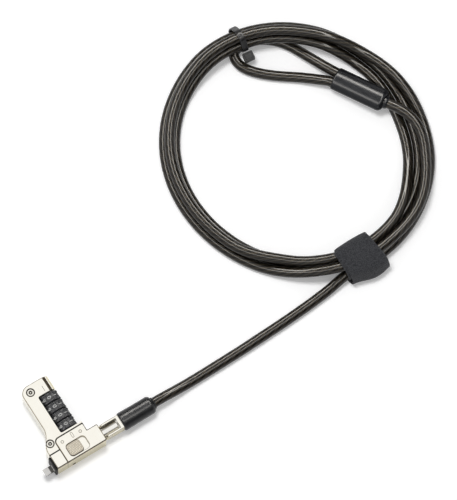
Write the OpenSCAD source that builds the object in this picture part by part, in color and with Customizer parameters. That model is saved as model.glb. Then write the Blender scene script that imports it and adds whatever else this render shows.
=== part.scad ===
// Laptop cable lock: a four-wheel combination head on a swivel, and its coiled steel cable.
// Frame: origin on the head's underside, beside the wheels. +X runs from the locking nose to the
// cable, +Y along the arm that holds the wheels, +Z up. Everything rests on z = 0. Millimetres.

/* [Head] */
// Thickness of the head
head_t = 12.8; // [12.4:0.1:15]
// Distance from the origin to the left side of the arm
arm_left = 8; // [7.6:0.1:10]
// Distance from the origin to the top end of the arm
arm_top = 18.1; // [17:0.1:24]
// Radius of the arm's top left corner
arm_corner_r = 5; // [2:0.5:7]
// Thickness of the covers' walls
wall_t = 1.2; // [1:0.1:1.5]
// Thickness of the base shell's floor
floor_t = 1.2; // [0.8:0.05:1.2]
// Height of the base shell
base_h = 3.4; // [3:0.1:3.6]
// Gap left in the seams between the covers
seam_gap = 0.15; // [0.1:0.05:0.3]

/* [Number wheels] */
// Outer diameter of a number wheel
wheel_d = 12.8; // [12:0.1:12.8]
// Distance from one wheel to the next
wheel_pitch = 5.9; // [5.6:0.1:6.2]
// Gap between two wheels
wheel_gap = 0.3; // [0.2:0.05:0.5]
// Chamfer on a wheel's rims
rim_chamfer = 0.5; // [0.2:0.1:0.8]
// Distance from the origin to the wheels' axis
wheel_x = 4.4; // [4:0.1:5]
// Height of the wheels' axis
wheel_z = 6.5; // [6.45:0.05:6.9]
// Middle of the row of wheels, along the arm
row_y = -2.9; // [-3.2:0.1:-2.9]
// Diameter of the clutch hub inside a wheel
hub_d = 7.4; // [6.8:0.1:8]
// Diameter of the locking spindle
spindle_d = 3; // [2.4:0.1:3.2]
// Number of positions on a wheel
wheel_steps = 10; // [8:1:12]

/* [Latch housing] */
// Left side of the latch housing
latch_left = -6.5; // [-7:0.1:-6.2]
// Upper edge of the latch housing
latch_top = -16.4; // [-16.8:0.1:-16.4]
// Corner radius of the latch housing
latch_corner_r = 2.6; // [1:0.1:3]
// Right end of the head, where the swivel leaves it
block_right = 19; // [18.6:0.1:24]
// Lower side of the head
block_bottom = -31.8; // [-34:0.1:-31.8]
// Place of the step in the upper right side
step_x = 12.5; // [12:0.1:14]
// Height of that step along the arm
step_y = -21.1; // [-21.6:0.1:-20.6]
// Left side of the nose block
nose_left = -13.3; // [-16:0.1:-13]
// Upper side of the nose block
nose_top = -23.2; // [-24:0.1:-23]

/* [Thumb latch] */
// Left side of the thumb window
window_left = -3.1; // [-3.6:0.1:-2.6]
// Length of the thumb window
window_len = 12.5; // [12:0.1:13]
// Height of the thumb window
window_h = 7.9; // [7:0.1:8.4]
// Middle of the thumb window, along the arm
window_y = -26.4; // [-26.8:0.1:-26.2]
// Corner radius of the thumb window
window_r = 2.1; // [1:0.1:2.8]
// Length of the thumb pad
pad_len = 8.7; // [8:0.1:9]
// Way that the latch slides
latch_travel = 3.6; // [2.4:0.1:3.6]
// Way that the spindle slides when the latch opens
spindle_travel = 2; // [1.8:0.1:2]

/* [Locking nose] */
// Thickness of the rubber face pad
face_pad_t = 1.8; // [1:0.1:3]
// Reach of the nose past the face pad
nose_reach = 5.4; // [4.5:0.1:7]
// Width of the fixed hook
hook_w = 4.2; // [3.4:0.1:4.6]
// Thickness of the fixed hook
hook_t = 1.5; // [1.2:0.1:1.6]
// Middle of the nose, along the arm
nose_y = -28.8; // [-29.2:0.1:-28.6]
// Length of the hook's neck, which takes the slot's wall
neck_len = 1.8; // [1:0.1:2.4]

/* [Swivel and cable sleeve] */
// Diameter of the swivel post
post_d = 5.8; // [5:0.1:6.2]
// Diameter of the post's journal in the head
journal_d = 4.4; // [3.6:0.1:4.6]
// Middle of the swivel, along the arm
post_y = -26.2; // [-26.4:0.1:-25.8]
// Height of the swivel
post_z = 6.4; // [6.2:0.1:6.8]
// Diameter of the yoke pin
yoke_pin_d = 2; // [1.6:0.1:2.4]
// Thickness of the yoke's arms
yoke_arm_t = 1.2; // [1:0.1:1.6]
// Height of the yoke
yoke_h = 6.8; // [6:0.1:7.6]
// Reach of the post past the yoke pin
post_reach = 6.8; // [6.2:0.1:8]
// Diameter of the cable sleeve
sleeve_d = 11; // [10.6:0.1:12]
// Length of the cable sleeve
sleeve_len = 22; // [20:0.5:26]

/* [Cable] */
// Diameter of the coated steel cable
cable_d = 5.6; // [4.4:0.1:5.6]
// Gap that the coil keeps between its loops
lay_gap = 0.5; // [0.5:0.1:0.8]
// Radius of the coil, at the middle of its bundle
loop_r = 68.5; // [66:0.5:72]
// How far the coil is drawn out of round
loop_wave = 3.5; // [0:0.5:5]
// Length of the ferrule at the cable's eye
ferrule_len = 32; // [30:0.5:33]
// Width of the ferrule
ferrule_w = 13; // [12.8:0.1:14]
// Thickness of the ferrule
ferrule_t = 7.8; // [7.4:0.1:8]
// Length of the strap along the bundle
strap_len = 21; // [15:0.5:26]
// Thickness of the strap
strap_t = 1.2; // [0.8:0.1:1.4]
// Width of the cable tie
tie_w = 3.2; // [2.4:0.1:4.8]
// Thickness of the cable tie
tie_t = 1.1; // [0.8:0.1:1.2]

/* [Hidden] */
$fn = 64;

nickel = "#e2dfd2";
steel = "#b9b9bb";
black = "#1b1b1d";
cord_black = "#2a2521";
cut = 0.1;
over = 40;
run_gap = 0.05;
slide_gap = 0.15;

// Wheels and spindle
wheel_w = wheel_pitch - wheel_gap;
row_half = 2 * wheel_pitch + 0.45;
row_low = row_y - row_half;
row_high = row_y + row_half;
barrel_r = head_t - wheel_z - 0.05;
dial_edge_x = wheel_x - 5.35;
floor_edge_x = wheel_x - 3.9;
hub_bore_r = 2.6;
flange_t = 0.8;
fin_t = 0.8;
fin_w = 1;
fin_r = 2.4;
spindle_top = row_high + 2.6;
spindle_tip = latch_top - 2.2;
tip_r = 0.4;
tip_len = 1.5;
spring_len = 2.3;
comb_finger_w = 3;

// Screws and seams
screw_x = [-3, -9.4];
screw_y = [13.8, -17.2];
screw_d = 1.9;
screw_head_d = 3.9;
screw_sink_d = 5.1;
screw_head_t = 1;
screw_sink = 1.1;
recess_r = 1.2;
shoulder_y = -8;
shoulder_steps = 10;
nose_seam_y = nose_top + 0.5;
outline_r = 0.8;
index_len = 3.4;
index_w = 0.3;

// Latch
window_low = window_y - window_h / 2;
shelf_z = head_t - 1.6;
shelf_t = 1;
stem_left = window_left + 0.6;
stem_len = 4;
stem_w = 3;
carriage_left = latch_left + wall_t + 0.5;
carriage_right = 9.6;
carriage_low = block_bottom + wall_t + 0.4;
carriage_high = step_y - wall_t - 0.3;
carriage_floor = 4.6;
carriage_top = 8.6;
ramp_gap = 0.15;
ramp_slope = spindle_travel / latch_travel;
ramp_foot_x = wheel_x - tip_r;
ramp_foot_y = spindle_tip - ramp_gap;
ramp_peak_y = spindle_tip + spindle_travel - 0.1;
ramp_peak_x = ramp_foot_x - (ramp_peak_y - ramp_foot_y) / ramp_slope;
ramp_end_x = ramp_foot_x + 2.5;
ramp_low_z = 5;
ramp_high_z = 8;
spring_tab_t = 1.2;
latch_spring_d = 1.8;
latch_spring_z = 2.25;
latch_spring_y = -24;
latch_spring_len = 4.2;

// Nose
pin_t = 1.4;
pin_w = 3.2;
pin_z = post_z - pin_t - 0.1;
hook_z = post_z + 0.05;
pad_face_x = nose_left - face_pad_t;
nose_tip_x = pad_face_x - nose_reach;
hook_root_x = latch_left + 0.8;
rivet_d = 1.6;
rivet_x = nose_left + 4;
reset_x = -2.4;
reset_z = 2.4;
reset_d = 1.4;
reset_sink = 0.6;
reset_len = 8;
reset_spring_len = 3;

// Swivel and yoke
yoke_pin_x = block_right + 0.4 + yoke_h / 2;
post_end_x = yoke_pin_x + post_reach;
yoke_in_x = post_end_x + 0.25;
yoke_base_t = 1.65;
yoke_out_x = yoke_in_x + yoke_base_t;
yoke_inner_w = post_d + 2 * slide_gap;
yoke_outer_w = yoke_inner_w + 2 * yoke_arm_t;
ring_x = block_right - wall_t - 1.2;
ring_t = 1;
ring_r = 3;
journal_end_x = ring_x - 1;
tail_r = 2;
tail_len = 8.5;
sleeve_x = yoke_out_x + 0.1;
sleeve_end = sleeve_x + sleeve_len;
sleeve_nose = 2.8;
barrel_x = yoke_out_x + 0.6;
barrel_end = sleeve_end - 3.6;
barrel_or = 4.2;
crimp_mid_x = yoke_out_x + tail_len + 0.4;
crimp_x = crimp_mid_x + 0.5;

// Coil, lead and eye
cable_r = cable_d / 2;
lay = cable_d + lay_gap;
coil_x = 197.3;
coil_y = 56.1;
wave_at = -68;
start_a = 270;
turns = 3;
end_a = 326;
tie_a = 83.3;
strap_a = 268.6;
strap_clear = 0.35;
tie_clear = 0.2;
tie_head_w = 6;
tie_head_h = 5;
tie_head_l = 5;
eye_bend = [205.2, 124.4, 4.1];
ring_step = 15;
coil_sides = 6;
chord_sag = loop_r * (1 - cos(ring_step / 2));
under_tie = tie_t + 0.2;
eye_lift = cable_d + under_tie + 0.3;
strap_lift = strap_t + 0.3;
ferrule_right = [255.5, 52, 10];
ferrule_left = [239, 80, 6.7];
ferrule_dir = (ferrule_left - ferrule_right) / norm(ferrule_left - ferrule_right);
ferrule_side = [-ferrule_dir[1], ferrule_dir[0], 0] / norm([ferrule_dir[0], ferrule_dir[1]]);
ferrule_turn = atan2(ferrule_dir[1], ferrule_dir[0]);
ferrule_tilt = -asin(ferrule_dir[2]);
hole_depth = 3;
leg_shift = 3.1;
crimp_w = 10.6;
crimp_t = 5.6;
lead_sides = 10;

lead_route = [
    [crimp_x, post_y, post_z],
    [48, post_y, post_z],
    [55, post_y, post_z],
    [60, -26.2, 6.1],
    [67, -26.2, 4.7],
    [75, -26.1, 3.3],
    [84, -26, 2.8],
    [97, -25.8, 2.8],
    [111, -25.5, 2.8],
    [124, -25, 2.8],
    [138, -24.4, 2.8],
    [151, -23.6, 2.8],
    [162, -22.7, 2.8],
    [172, -21.6, 3.1],
    [181, -20.1, 3.9]
];
eye_route = [
    [237.2, 88.8, 4.7],
    [234.6, 95.6, 3.3],
    [231.8, 102, 2.8],
    [229, 107.8, 2.8],
    [226, 112.6, 2.8],
    [222.3, 116.8, 2.9],
    [217.9, 120.2, 3.3],
    [213, 122.8, 3.8],
    [209, 124, 4.1],
    eye_bend,
    [201.6, 123.9, 4.1],
    [199, 122.6, 3.8],
    [197.8, 119.8, 3.3],
    [198.3, 115.2, 2.8],
    [200.6, 110.7, 2.8],
    [204.6, 106, 2.8],
    [209.5, 101.5, 2.8],
    [214.2, 97.8, 2.8],
    [219, 94.3, 2.9],
    [223.6, 90.8, 3.5],
    [228, 87, 4.5],
    [232.2, 83.2, 5.5]
];

// Blend from 0 to 1
function ease(t) = t <= 0 ? 0 : t >= 1 ? 1 : t * t * (3 - 2 * t);
function ramp(a, from, to) = ease((a - from) / (to - from));

// Middle radius of the bundle, and its rise over the eye and over the strap
function bundle_r(a) = loop_r + loop_wave * cos(2 * (a - wave_at));
function rise(a) = eye_lift * (ramp(a, 18, 48) - ramp(a, 97, 127))
    + strap_lift * (ramp(a, 236, 256) - ramp(a, 282, 302));
function turned(a) = a - 360 * floor(a / 360);

// Sideways place and layer of the cable along the whole winding, counted from its first degree
function lay_side(w) = lay * (
    0.8
    + 0.2 * ramp(w, 25, 60)
    - ramp(w, 80, 150)
    - 0.5 * ramp(w, 295, 325)
    - 0.5 * ramp(w, 380, 410)
    + 0.5 * ramp(w, 430, 470)
    + 0.25 * ramp(w, 705, 732)
    + 0.25 * ramp(w, 744, 776)
    + 0.5 * ramp(w, 790, 830)
    + 0.35 * ramp(w, 1090, 1120)
    - 0.35 * ramp(w, 1110, 1150));
function lay_layer(w) = ramp(w, 68, 98) - ramp(w, 388, 420) + ramp(w, 1030, 1062);
function coil_point(w) =
    let (a = turned(start_a + w), r = bundle_r(a) + lay_side(w))
    [coil_x + r * cos(a), coil_y + r * sin(a), cable_r + lay * lay_layer(w) + rise(a)];

// Cubic curve between two places with given pulls
function bow(p, q, pull_p, pull_q, t) =
    p * pow(1 - t, 3)
    + 3 * (p + pull_p) * t * pow(1 - t, 2)
    + 3 * (q - pull_q) * t * t * (1 - t)
    + q * pow(t, 3);

turn_total = 360 * turns + end_a - start_a;
coil_loose_end = coil_point(turn_total);
coil_last_step = coil_loose_end - coil_point(turn_total - 4);
coil_end_dir = coil_last_step / norm(coil_last_step);
ferrule_mouth = ferrule_right - ferrule_dir * cable_d;
coil_start = coil_point(0) - [cable_d, 0, 0];
function coil_tail(t) = bow(coil_loose_end, ferrule_mouth, coil_end_dir * 14, ferrule_dir * 14, t);
coil_path = concat(
    [coil_start],
    [for (w = [0:ring_step:turn_total - 1]) coil_point(w)],
    [for (t = [0:0.25:1]) coil_tail(t)],
    [ferrule_right + ferrule_dir * (hole_depth - 0.5)]
);
lead_path = concat(lead_route, [coil_start - [cable_d, 0, 0], coil_start]);
eye_out = ferrule_left - ferrule_side * leg_shift;
eye_back = ferrule_left + ferrule_side * leg_shift;
eye_path = concat(
    [eye_out - ferrule_dir * (hole_depth - 0.5), eye_out + ferrule_dir * 2],
    eye_route,
    [eye_back + ferrule_dir * 2, eye_back - ferrule_dir * (hole_depth - 0.5)]
);

// Least gap between the coil's own loops, measured on points every four degrees
gap_step = 4;
gap_skip = 60;
gap_points = concat(
    [for (w = [0:gap_step:turn_total]) coil_point(w)],
    [for (t = [0.1:0.1:1]) coil_tail(t)]
);
coil_gap = min([
    for (i = [0:len(gap_points) - gap_skip - 1])
        for (k = [i + gap_skip:len(gap_points) - 1]) norm(gap_points[i] - gap_points[k])
]) - cable_d;
function path_len(p, i = 1) = i >= len(p) ? 0 : norm(p[i] - p[i - 1]) + path_len(p, i + 1);
echo(coil_gap = coil_gap);
echo(cable_length = path_len(lead_path) + path_len(coil_path) + path_len(eye_path) + ferrule_len);

// Closed tube along a path, with flats above and below
module tube(path, r, sides) {
    n = len(path);
    dirs = [for (i = [0:n - 1])
        let (d = path[min(i + 1, n - 1)] - path[max(i - 1, 0)]) d / norm(d)];
    rings = [for (i = [0:n - 1])
        let (
            side = cross([0, 0, 1], dirs[i]) / norm(cross([0, 0, 1], dirs[i])),
            up = cross(dirs[i], side)
        )
        for (k = [0:sides - 1])
            path[i] + r * (cos(360 * k / sides) * side + sin(360 * k / sides) * up)];
    walls = [for (i = [0:n - 2]) for (k = [0:sides - 1])
        let (
            a = i * sides + k,
            b = i * sides + (k + 1) % sides,
            c = a + sides,
            d = b + sides
        )
        each [[a, c, b], [b, c, d]]];
    start_cap = [for (k = [1:sides - 2]) [0, k, k + 1]];
    last = (n - 1) * sides;
    end_cap = [for (k = [1:sides - 2]) [last, last + k + 1, last + k]];
    polyhedron(rings, concat(walls, start_cap, end_cap));
}

// Placing helpers
module along_y(x, y, z) {
    translate([x, y, z]) rotate([-90, 0, 0]) children();
}

module along_x(x, y, z) {
    translate([x, y, z]) rotate([0, 90, 0]) children();
}

module block(from, to) {
    translate(from) cube(to - from);
}

// Head outline, arm and block, without the round barrel over the wheels
module head_outline() {
    shoulder = [for (i = [0:shoulder_steps])
        let (t = i / shoulder_steps)
        [-arm_left + (nose_left + arm_left) * (1 - cos(180 * t)) / 2,
            shoulder_y + (nose_top + 2 - shoulder_y) * t]];
    difference() {
        polygon(concat(
            [[wheel_x, row_low], [wheel_x, arm_top], [-arm_left, arm_top]],
            shoulder,
            [
                [nose_left, block_bottom],
                [block_right, block_bottom],
                [block_right, step_y],
                [step_x, step_y],
                [step_x, row_low]
            ]
        ));
        corner_cut(-arm_left, arm_top, arm_corner_r, 1, -1);
        corner_cut(block_right, block_bottom, outline_r, -1, 1);
        corner_cut(block_right, step_y, outline_r, -1, -1);
        corner_cut(nose_left, block_bottom, outline_r, 1, 1);
    }
}

// What a round corner takes off a square one; sx and sy point into the shape
module corner_cut(x, y, r, sx, sy) {
    difference() {
        translate([x + (sx < 0 ? -r : -cut), y + (sy < 0 ? -r : -cut)]) square(r + cut);
        translate([x + sx * r, y + sy * r]) circle(r);
    }
}

module barrel() {
    along_y(wheel_x, row_low, wheel_z) cylinder(h = arm_top - row_low, r = barrel_r);
}

module head_solid(z_from, z_to) {
    translate([0, 0, z_from]) linear_extrude(z_to - z_from) head_outline();
    intersection() {
        barrel();
        block([-over, -over, z_from], [over, over, z_to]);
    }
}

// Plan of the latch housing, with its round upper left corner; more makes it larger
module latch_plan(more) {
    difference() {
        translate([latch_left - more, block_bottom - cut])
            square([block_right - latch_left + more + cut, latch_top + more - block_bottom + cut]);
        corner_cut(latch_left - more, latch_top + more, latch_corner_r + more, 1, -1);
    }
}

// Room that the wheels need in the arm, open to the right
module wheel_room() {
    block([wheel_x - wheel_d / 2 - 0.3, row_low, wheel_z - wheel_d / 2 - 0.4],
        [wheel_x, row_high, head_t - wall_t]);
    block([dial_edge_x, row_low, wheel_z], [over, row_high, over]);
    block([floor_edge_x, row_low, -cut], [over, row_high, wheel_z + cut]);
}

module screw_holes() {
    for (i = [0:1]) {
        translate([screw_x[i], screw_y[i], 0.8]) cylinder(h = over, d = screw_d + 2 * run_gap);
        translate([screw_x[i], screw_y[i], head_t - screw_sink]) cylinder(h = over, d = screw_sink_d);
    }
}

module spindle_bore() {
    along_y(wheel_x, latch_top - 1, wheel_z)
        cylinder(h = spindle_top + spindle_travel + spring_len + 0.2 - latch_top + 1,
            d = spindle_d + 2 * run_gap);
}

module base_shell() {
    color(nickel) difference() {
        head_solid(0, base_h);
        difference() {
            wheel_room();
            block([-over, -over, -over], [floor_edge_x, over, floor_t]);
        }
        block([-arm_left + wall_t, row_low, floor_t], [wheel_x, row_high, over]);
        block([latch_left + wall_t, block_bottom + wall_t, floor_t],
            [step_x - wall_t, latch_top - seam_gap, over]);
        block([latch_left + wall_t, block_bottom + wall_t, floor_t],
            [block_right - wall_t, step_y - wall_t, over]);
        screw_holes();
        along_y(reset_x, block_bottom - cut, reset_z)
            cylinder(h = wall_t + 2 * cut, d = reset_d + 2 * run_gap);
        rivet_holes();
    }
}

module arm_cover() {
    color(nickel) difference() {
        head_solid(base_h, head_t);
        translate([0, 0, -cut]) linear_extrude(over) latch_plan(seam_gap);
        block([-over, -over, -cut], [latch_left, nose_seam_y, over]);
        wheel_room();
        block([-arm_left + wall_t, row_low, 0], [wheel_x, row_high, head_t - wall_t]);
        screw_holes();
        spindle_bore();
        block([wheel_x - index_w / 2, row_high + 1, head_t - 0.35],
            [wheel_x + index_w / 2, row_high + 1 + index_len, over]);
    }
}

module latch_cover() {
    color(nickel) {
        difference() {
            intersection() {
                head_solid(base_h, head_t);
                translate([0, 0, -cut]) linear_extrude(over) latch_plan(0);
            }
            difference() {
                union() {
                    block([latch_left + wall_t, block_bottom + wall_t, 0],
                        [step_x - wall_t, latch_top + cut, head_t - wall_t]);
                    block([latch_left + wall_t, block_bottom + wall_t, 0],
                        [block_right - wall_t, step_y - wall_t, head_t - wall_t]);
                }
                block([latch_left, block_bottom, shelf_z - shelf_t],
                    [window_left + window_len + 1.2, window_low + window_h + 1, over]);
            }
            translate([0, 0, shelf_z]) linear_extrude(over)
                round_rect(window_left, window_low, window_len, window_h, window_r);
            block([stem_left - slide_gap, window_y - stem_w / 2 - slide_gap, 0],
                [stem_left + stem_len + latch_travel + slide_gap,
                    window_y + stem_w / 2 + slide_gap, over]);
            block([latch_left - cut, nose_y - pin_w / 2 - slide_gap, pin_z - slide_gap],
                [latch_left + wall_t + cut, nose_y + pin_w / 2 + slide_gap,
                    pin_z + pin_t + slide_gap]);
            block([latch_left - cut, nose_y - hook_w / 2 - run_gap, hook_z - run_gap],
                [latch_left + wall_t, nose_y + hook_w / 2 + run_gap, hook_z + hook_t + run_gap]);
            along_x(block_right - wall_t - cut, post_y, post_z)
                cylinder(h = wall_t + 2 * cut, d = journal_d + 2 * run_gap);
        }
        for (x = [-3, 8.8]) {
            translate([x, latch_top - 3.5, head_t]) difference() {
                cylinder(h = 0.15, r = 0.95);
                translate([0, 0, -cut]) cylinder(h = 1, r = 0.6);
            }
        }
        translate([0, 0, head_t]) linear_extrude(0.15)
            round_rect(wheel_x - 1.3, latch_top - 4.7, 1.4, 3.6, 0.69);
    }
}

module round_rect(x, y, w, h, r) {
    difference() {
        translate([x, y]) square([w, h]);
        corner_cut(x, y, r, 1, 1);
        corner_cut(x + w, y, r, -1, 1);
        corner_cut(x, y + h, r, 1, -1);
        corner_cut(x + w, y + h, r, -1, -1);
    }
}

module rivet_holes() {
    translate([rivet_x, nose_y, 1.4]) cylinder(h = head_t - 3, d = rivet_d + 2 * run_gap);
}

module nose_block() {
    color(nickel) difference() {
        translate([0, 0, base_h]) linear_extrude(head_t - base_h) difference() {
            translate([nose_left, block_bottom])
                square([latch_left - seam_gap - nose_left, nose_top - block_bottom]);
            corner_cut(nose_left, block_bottom, outline_r, 1, 1);
        }
        block([-over, nose_y - hook_w / 2 - run_gap, hook_z - run_gap],
            [over, nose_y + hook_w / 2 + run_gap, hook_z + hook_t + run_gap]);
        block([-over, nose_y - pin_w / 2 - slide_gap, pin_z - slide_gap],
            [over, nose_y + pin_w / 2 + slide_gap, hook_z]);
        rivet_holes();
    }
}

// Soft pad between the nose block and the computer's case
module face_pad() {
    color(black) difference() {
        along_x(pad_face_x, 0, 0) linear_extrude(face_pad_t)
            round_rect(-head_t + 0.6, block_bottom - 0.2, head_t - 0.8, nose_top - block_bottom, 1.2);
        block([-over, nose_y - hook_w / 2 - run_gap, pin_z - slide_gap],
            [over, nose_y + hook_w / 2 + run_gap, hook_z + hook_t + run_gap]);
    }
}

// Fixed hook of the nose: a broad head and a thin neck, riveted in the nose block
module nose_hook() {
    color(steel) difference() {
        block([nose_tip_x, nose_y - hook_w / 2, hook_z],
            [hook_root_x, nose_y + hook_w / 2, hook_z + hook_t]);
        block([pad_face_x - neck_len, -over, hook_z + hook_t - 0.5], [pad_face_x, over, over]);
        translate([nose_tip_x, nose_y - hook_w / 2, hook_z - cut]) rotate([0, 0, 45])
            cube([1.3, 1.3, over], center = true);
        translate([rivet_x, nose_y, 0]) cylinder(h = over, d = rivet_d + 2 * run_gap);
    }
}

module hook_rivets() {
    color(steel) {
        translate([rivet_x, nose_y, hook_z - run_gap]) cylinder(h = head_t - 1.6 - hook_z, d = rivet_d);
    }
}

module cover_screws() {
    color(steel) for (i = [0:1]) {
        translate([screw_x[i], screw_y[i], 0]) difference() {
            union() {
                translate([0, 0, 1]) cylinder(h = head_t - screw_sink - 1, d = screw_d);
                translate([0, 0, head_t - screw_sink]) cylinder(h = screw_head_t, d = screw_head_d);
            }
            translate([0, 0, head_t - screw_sink + 0.3]) difference() {
                cylinder(h = over, r = recess_r, $fn = 6);
                cylinder(h = screw_head_t - 0.5, r = 0.4);
            }
        }
    }
}

// Leaf spring with a finger for each wheel
module detent_comb() {
    left = -arm_left + wall_t + run_gap;
    right = wheel_x - wheel_d / 2 - 0.2;
    low = floor_t + run_gap;
    color(steel) {
        block([left, row_low + 0.4, low], [left + 0.4, row_high - 0.4, low + 1.4]);
        for (i = [0:3]) {
            y = wheel_y(i);
            translate([0, y + comb_finger_w / 2, 0]) rotate([90, 0, 0]) linear_extrude(comb_finger_w)
                polygon([
                    [left, low],
                    [left + 0.4, low],
                    [left + 0.4, 9],
                    [right - 0.3, wheel_z - 0.2],
                    [right, wheel_z],
                    [left + 0.4, 9.6],
                    [left, 9.6]
                ]);
        }
    }
}

module lock_pin() {
    color(steel) block([nose_tip_x + 0.3, nose_y - pin_w / 2, pin_z],
        [carriage_left, nose_y + pin_w / 2, pin_z + pin_t]);
}

// Carriage under the thumb pad, with the ramp that lifts the spindle
module latch_carriage() {
    color(steel) {
        block([carriage_left, carriage_low, carriage_floor],
            [carriage_right, carriage_high, carriage_top]);
        translate([0, 0, ramp_low_z]) linear_extrude(ramp_high_z - ramp_low_z) polygon([
            [ramp_peak_x - 2.8, carriage_high - 1],
            [ramp_peak_x - 2.8, ramp_peak_y],
            [ramp_peak_x, ramp_peak_y],
            [ramp_end_x, ramp_foot_y - ramp_slope * (ramp_end_x - ramp_foot_x)],
            [ramp_end_x, carriage_high - 1]
        ]);
        block([carriage_right - spring_tab_t, latch_spring_y - 1.2, floor_t + 0.15],
            [carriage_right, latch_spring_y + 1.2, carriage_floor + cut]);
    }
}

module thumb_pad() {
    color(nickel) {
        translate([0, 0, shelf_z + 0.1]) linear_extrude(head_t - shelf_z - 0.3)
            round_rect(window_left + 0.1, window_low + 0.1, pad_len, window_h - 0.2, window_r - 0.1);
        block([stem_left, window_y - stem_w / 2, carriage_top],
            [stem_left + stem_len, window_y + stem_w / 2, shelf_z + 0.2]);
    }
}

module latch_spring() {
    color(steel) along_x(carriage_right, latch_spring_y, latch_spring_z) difference() {
        cylinder(h = latch_spring_len, d = latch_spring_d);
        translate([0, 0, 0.4]) cylinder(h = latch_spring_len, d = latch_spring_d - 0.8);
    }
}

function wheel_y(i) = row_y + (1.5 - i) * wheel_pitch;

// Number wheel: chamfered rims, a drum for the digits, ten grooves inside for the hub's dog
module number_wheel(i) {
    r = wheel_d / 2;
    w = wheel_w / 2;
    bore = hub_d / 2 + run_gap;
    color(black) along_y(wheel_x, wheel_y(i), wheel_z) difference() {
        rotate_extrude() polygon([
            [bore, -w],
            [r - rim_chamfer, -w],
            [r, rim_chamfer - w],
            [r, 1.2 - w],
            [r - 0.25, 1.5 - w],
            [r - 0.25, w - 1.5],
            [r, w - 1.2],
            [r, w - rim_chamfer],
            [r - rim_chamfer, w],
            [bore, w]
        ]);
        for (k = [0:wheel_steps - 1]) {
            rotate([0, 0, 360 * k / wheel_steps]) translate([0, -0.5, -w - cut])
                cube([bore + 0.8, 1, w + 0.6]);
        }
    }
}

// Clutch hub: a dog for the wheel's grooves, and a slotted flange that lets the spindle's fin by
module wheel_hub(i) {
    w = wheel_w / 2;
    color(steel) along_y(wheel_x, wheel_y(i), wheel_z) difference() {
        union() {
            cylinder(h = wheel_w, d = hub_d, center = true);
            translate([0, -0.4, -w + 0.6]) cube([hub_d / 2 + 0.7, 0.8, 1.4]);
        }
        difference() {
            cylinder(h = wheel_w + 2 * cut, r = hub_bore_r, center = true);
            cylinder(h = flange_t, r = hub_bore_r + cut, center = true);
        }
        cylinder(h = wheel_w + 2 * cut, d = spindle_d + 2 * run_gap, center = true);
        translate([-fin_w / 2 - 0.1, -hub_bore_r + 0.05, -w - cut])
            cube([fin_w + 0.2, hub_bore_r, wheel_w + 2 * cut]);
    }
}

// Spindle with a fin below each hub's flange, and the cone that the latch lifts
module spindle() {
    rest = flange_t / 2 + (spindle_travel - flange_t - fin_t) / 2;
    color(steel) {
        along_y(wheel_x, spindle_tip, wheel_z) cylinder(h = tip_len, r1 = tip_r, r2 = spindle_d / 2);
        along_y(wheel_x, spindle_tip + tip_len, wheel_z)
            cylinder(h = spindle_top - spindle_tip - tip_len, d = spindle_d);
        for (i = [0:3]) {
            block([wheel_x - fin_w / 2, wheel_y(i) - rest - fin_t, wheel_z + 0.5],
                [wheel_x + fin_w / 2, wheel_y(i) - rest, wheel_z + fin_r]);
        }
    }
}

module spindle_spring() {
    color(steel) along_y(wheel_x, spindle_top, wheel_z) difference() {
        cylinder(h = spring_len, d = spindle_d - 0.3);
        translate([0, 0, 0.4]) cylinder(h = spring_len, d = spindle_d - 1.2);
    }
}

module reset_plunger() {
    color(steel) {
        along_y(reset_x, block_bottom + reset_sink, reset_z) cylinder(h = reset_len, d = reset_d);
        along_y(reset_x, block_bottom + wall_t + 1.6, reset_z) cylinder(h = 0.6, d = reset_d + 0.7);
    }
}

module reset_spring() {
    color(steel) along_y(reset_x, block_bottom + wall_t + 2.2, reset_z) difference() {
        cylinder(h = reset_spring_len, d = reset_d + 0.7);
        translate([0, 0, -cut]) cylinder(h = over, d = reset_d + 2 * run_gap);
    }
}

// Swivel post: journal in the head, round body outside, end rounded about the yoke pin
module swivel_post() {
    color(steel) difference() {
        union() {
            along_x(journal_end_x, post_y, post_z)
                cylinder(h = block_right + 0.2 - journal_end_x, d = journal_d);
            intersection() {
                along_x(block_right + 0.2, post_y, post_z) cylinder(h = over, d = post_d);
                along_y(yoke_pin_x, post_y - over / 2, post_z) cylinder(h = over, r = post_reach);
            }
        }
        along_y(yoke_pin_x, post_y - post_d, post_z)
            cylinder(h = 2 * post_d, d = yoke_pin_d + 2 * run_gap);
    }
}

module post_ring() {
    color(steel) along_x(ring_x, post_y, post_z) difference() {
        cylinder(h = ring_t, r = ring_r);
        translate([0, 0, -cut]) cylinder(h = over, d = journal_d + 2 * run_gap);
    }
}

// Yoke: two round-ended arms beside the post, a base across them and a tail for the crimp
module yoke() {
    color(nickel) {
        difference() {
            union() {
                along_y(yoke_pin_x, post_y - yoke_outer_w / 2, post_z)
                    cylinder(h = yoke_outer_w, d = yoke_h);
                block([yoke_pin_x, post_y - yoke_outer_w / 2, post_z - yoke_h / 2],
                    [yoke_out_x, post_y + yoke_outer_w / 2, post_z + yoke_h / 2]);
            }
            block([-over, post_y - yoke_inner_w / 2, -over], [yoke_in_x, post_y + yoke_inner_w / 2, over]);
            along_y(yoke_pin_x, post_y - over / 2, post_z) cylinder(h = over, d = yoke_pin_d + run_gap);
        }
        along_x(yoke_out_x - cut, post_y, post_z) cylinder(h = tail_len + cut, r = tail_r);
    }
}

module yoke_pin() {
    color(steel) along_y(yoke_pin_x, post_y - yoke_outer_w / 2, post_z)
        cylinder(h = yoke_outer_w, d = yoke_pin_d);
}

module crimp_barrel() {
    color(steel) difference() {
        along_x(barrel_x, post_y, post_z) cylinder(h = barrel_end - barrel_x, r = barrel_or);
        along_x(barrel_x - cut, post_y, post_z)
            cylinder(h = crimp_mid_x - barrel_x + cut, r = tail_r + run_gap);
        along_x(crimp_x - run_gap, post_y, post_z) cylinder(h = over, r = cable_r + run_gap);
    }
}

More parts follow.
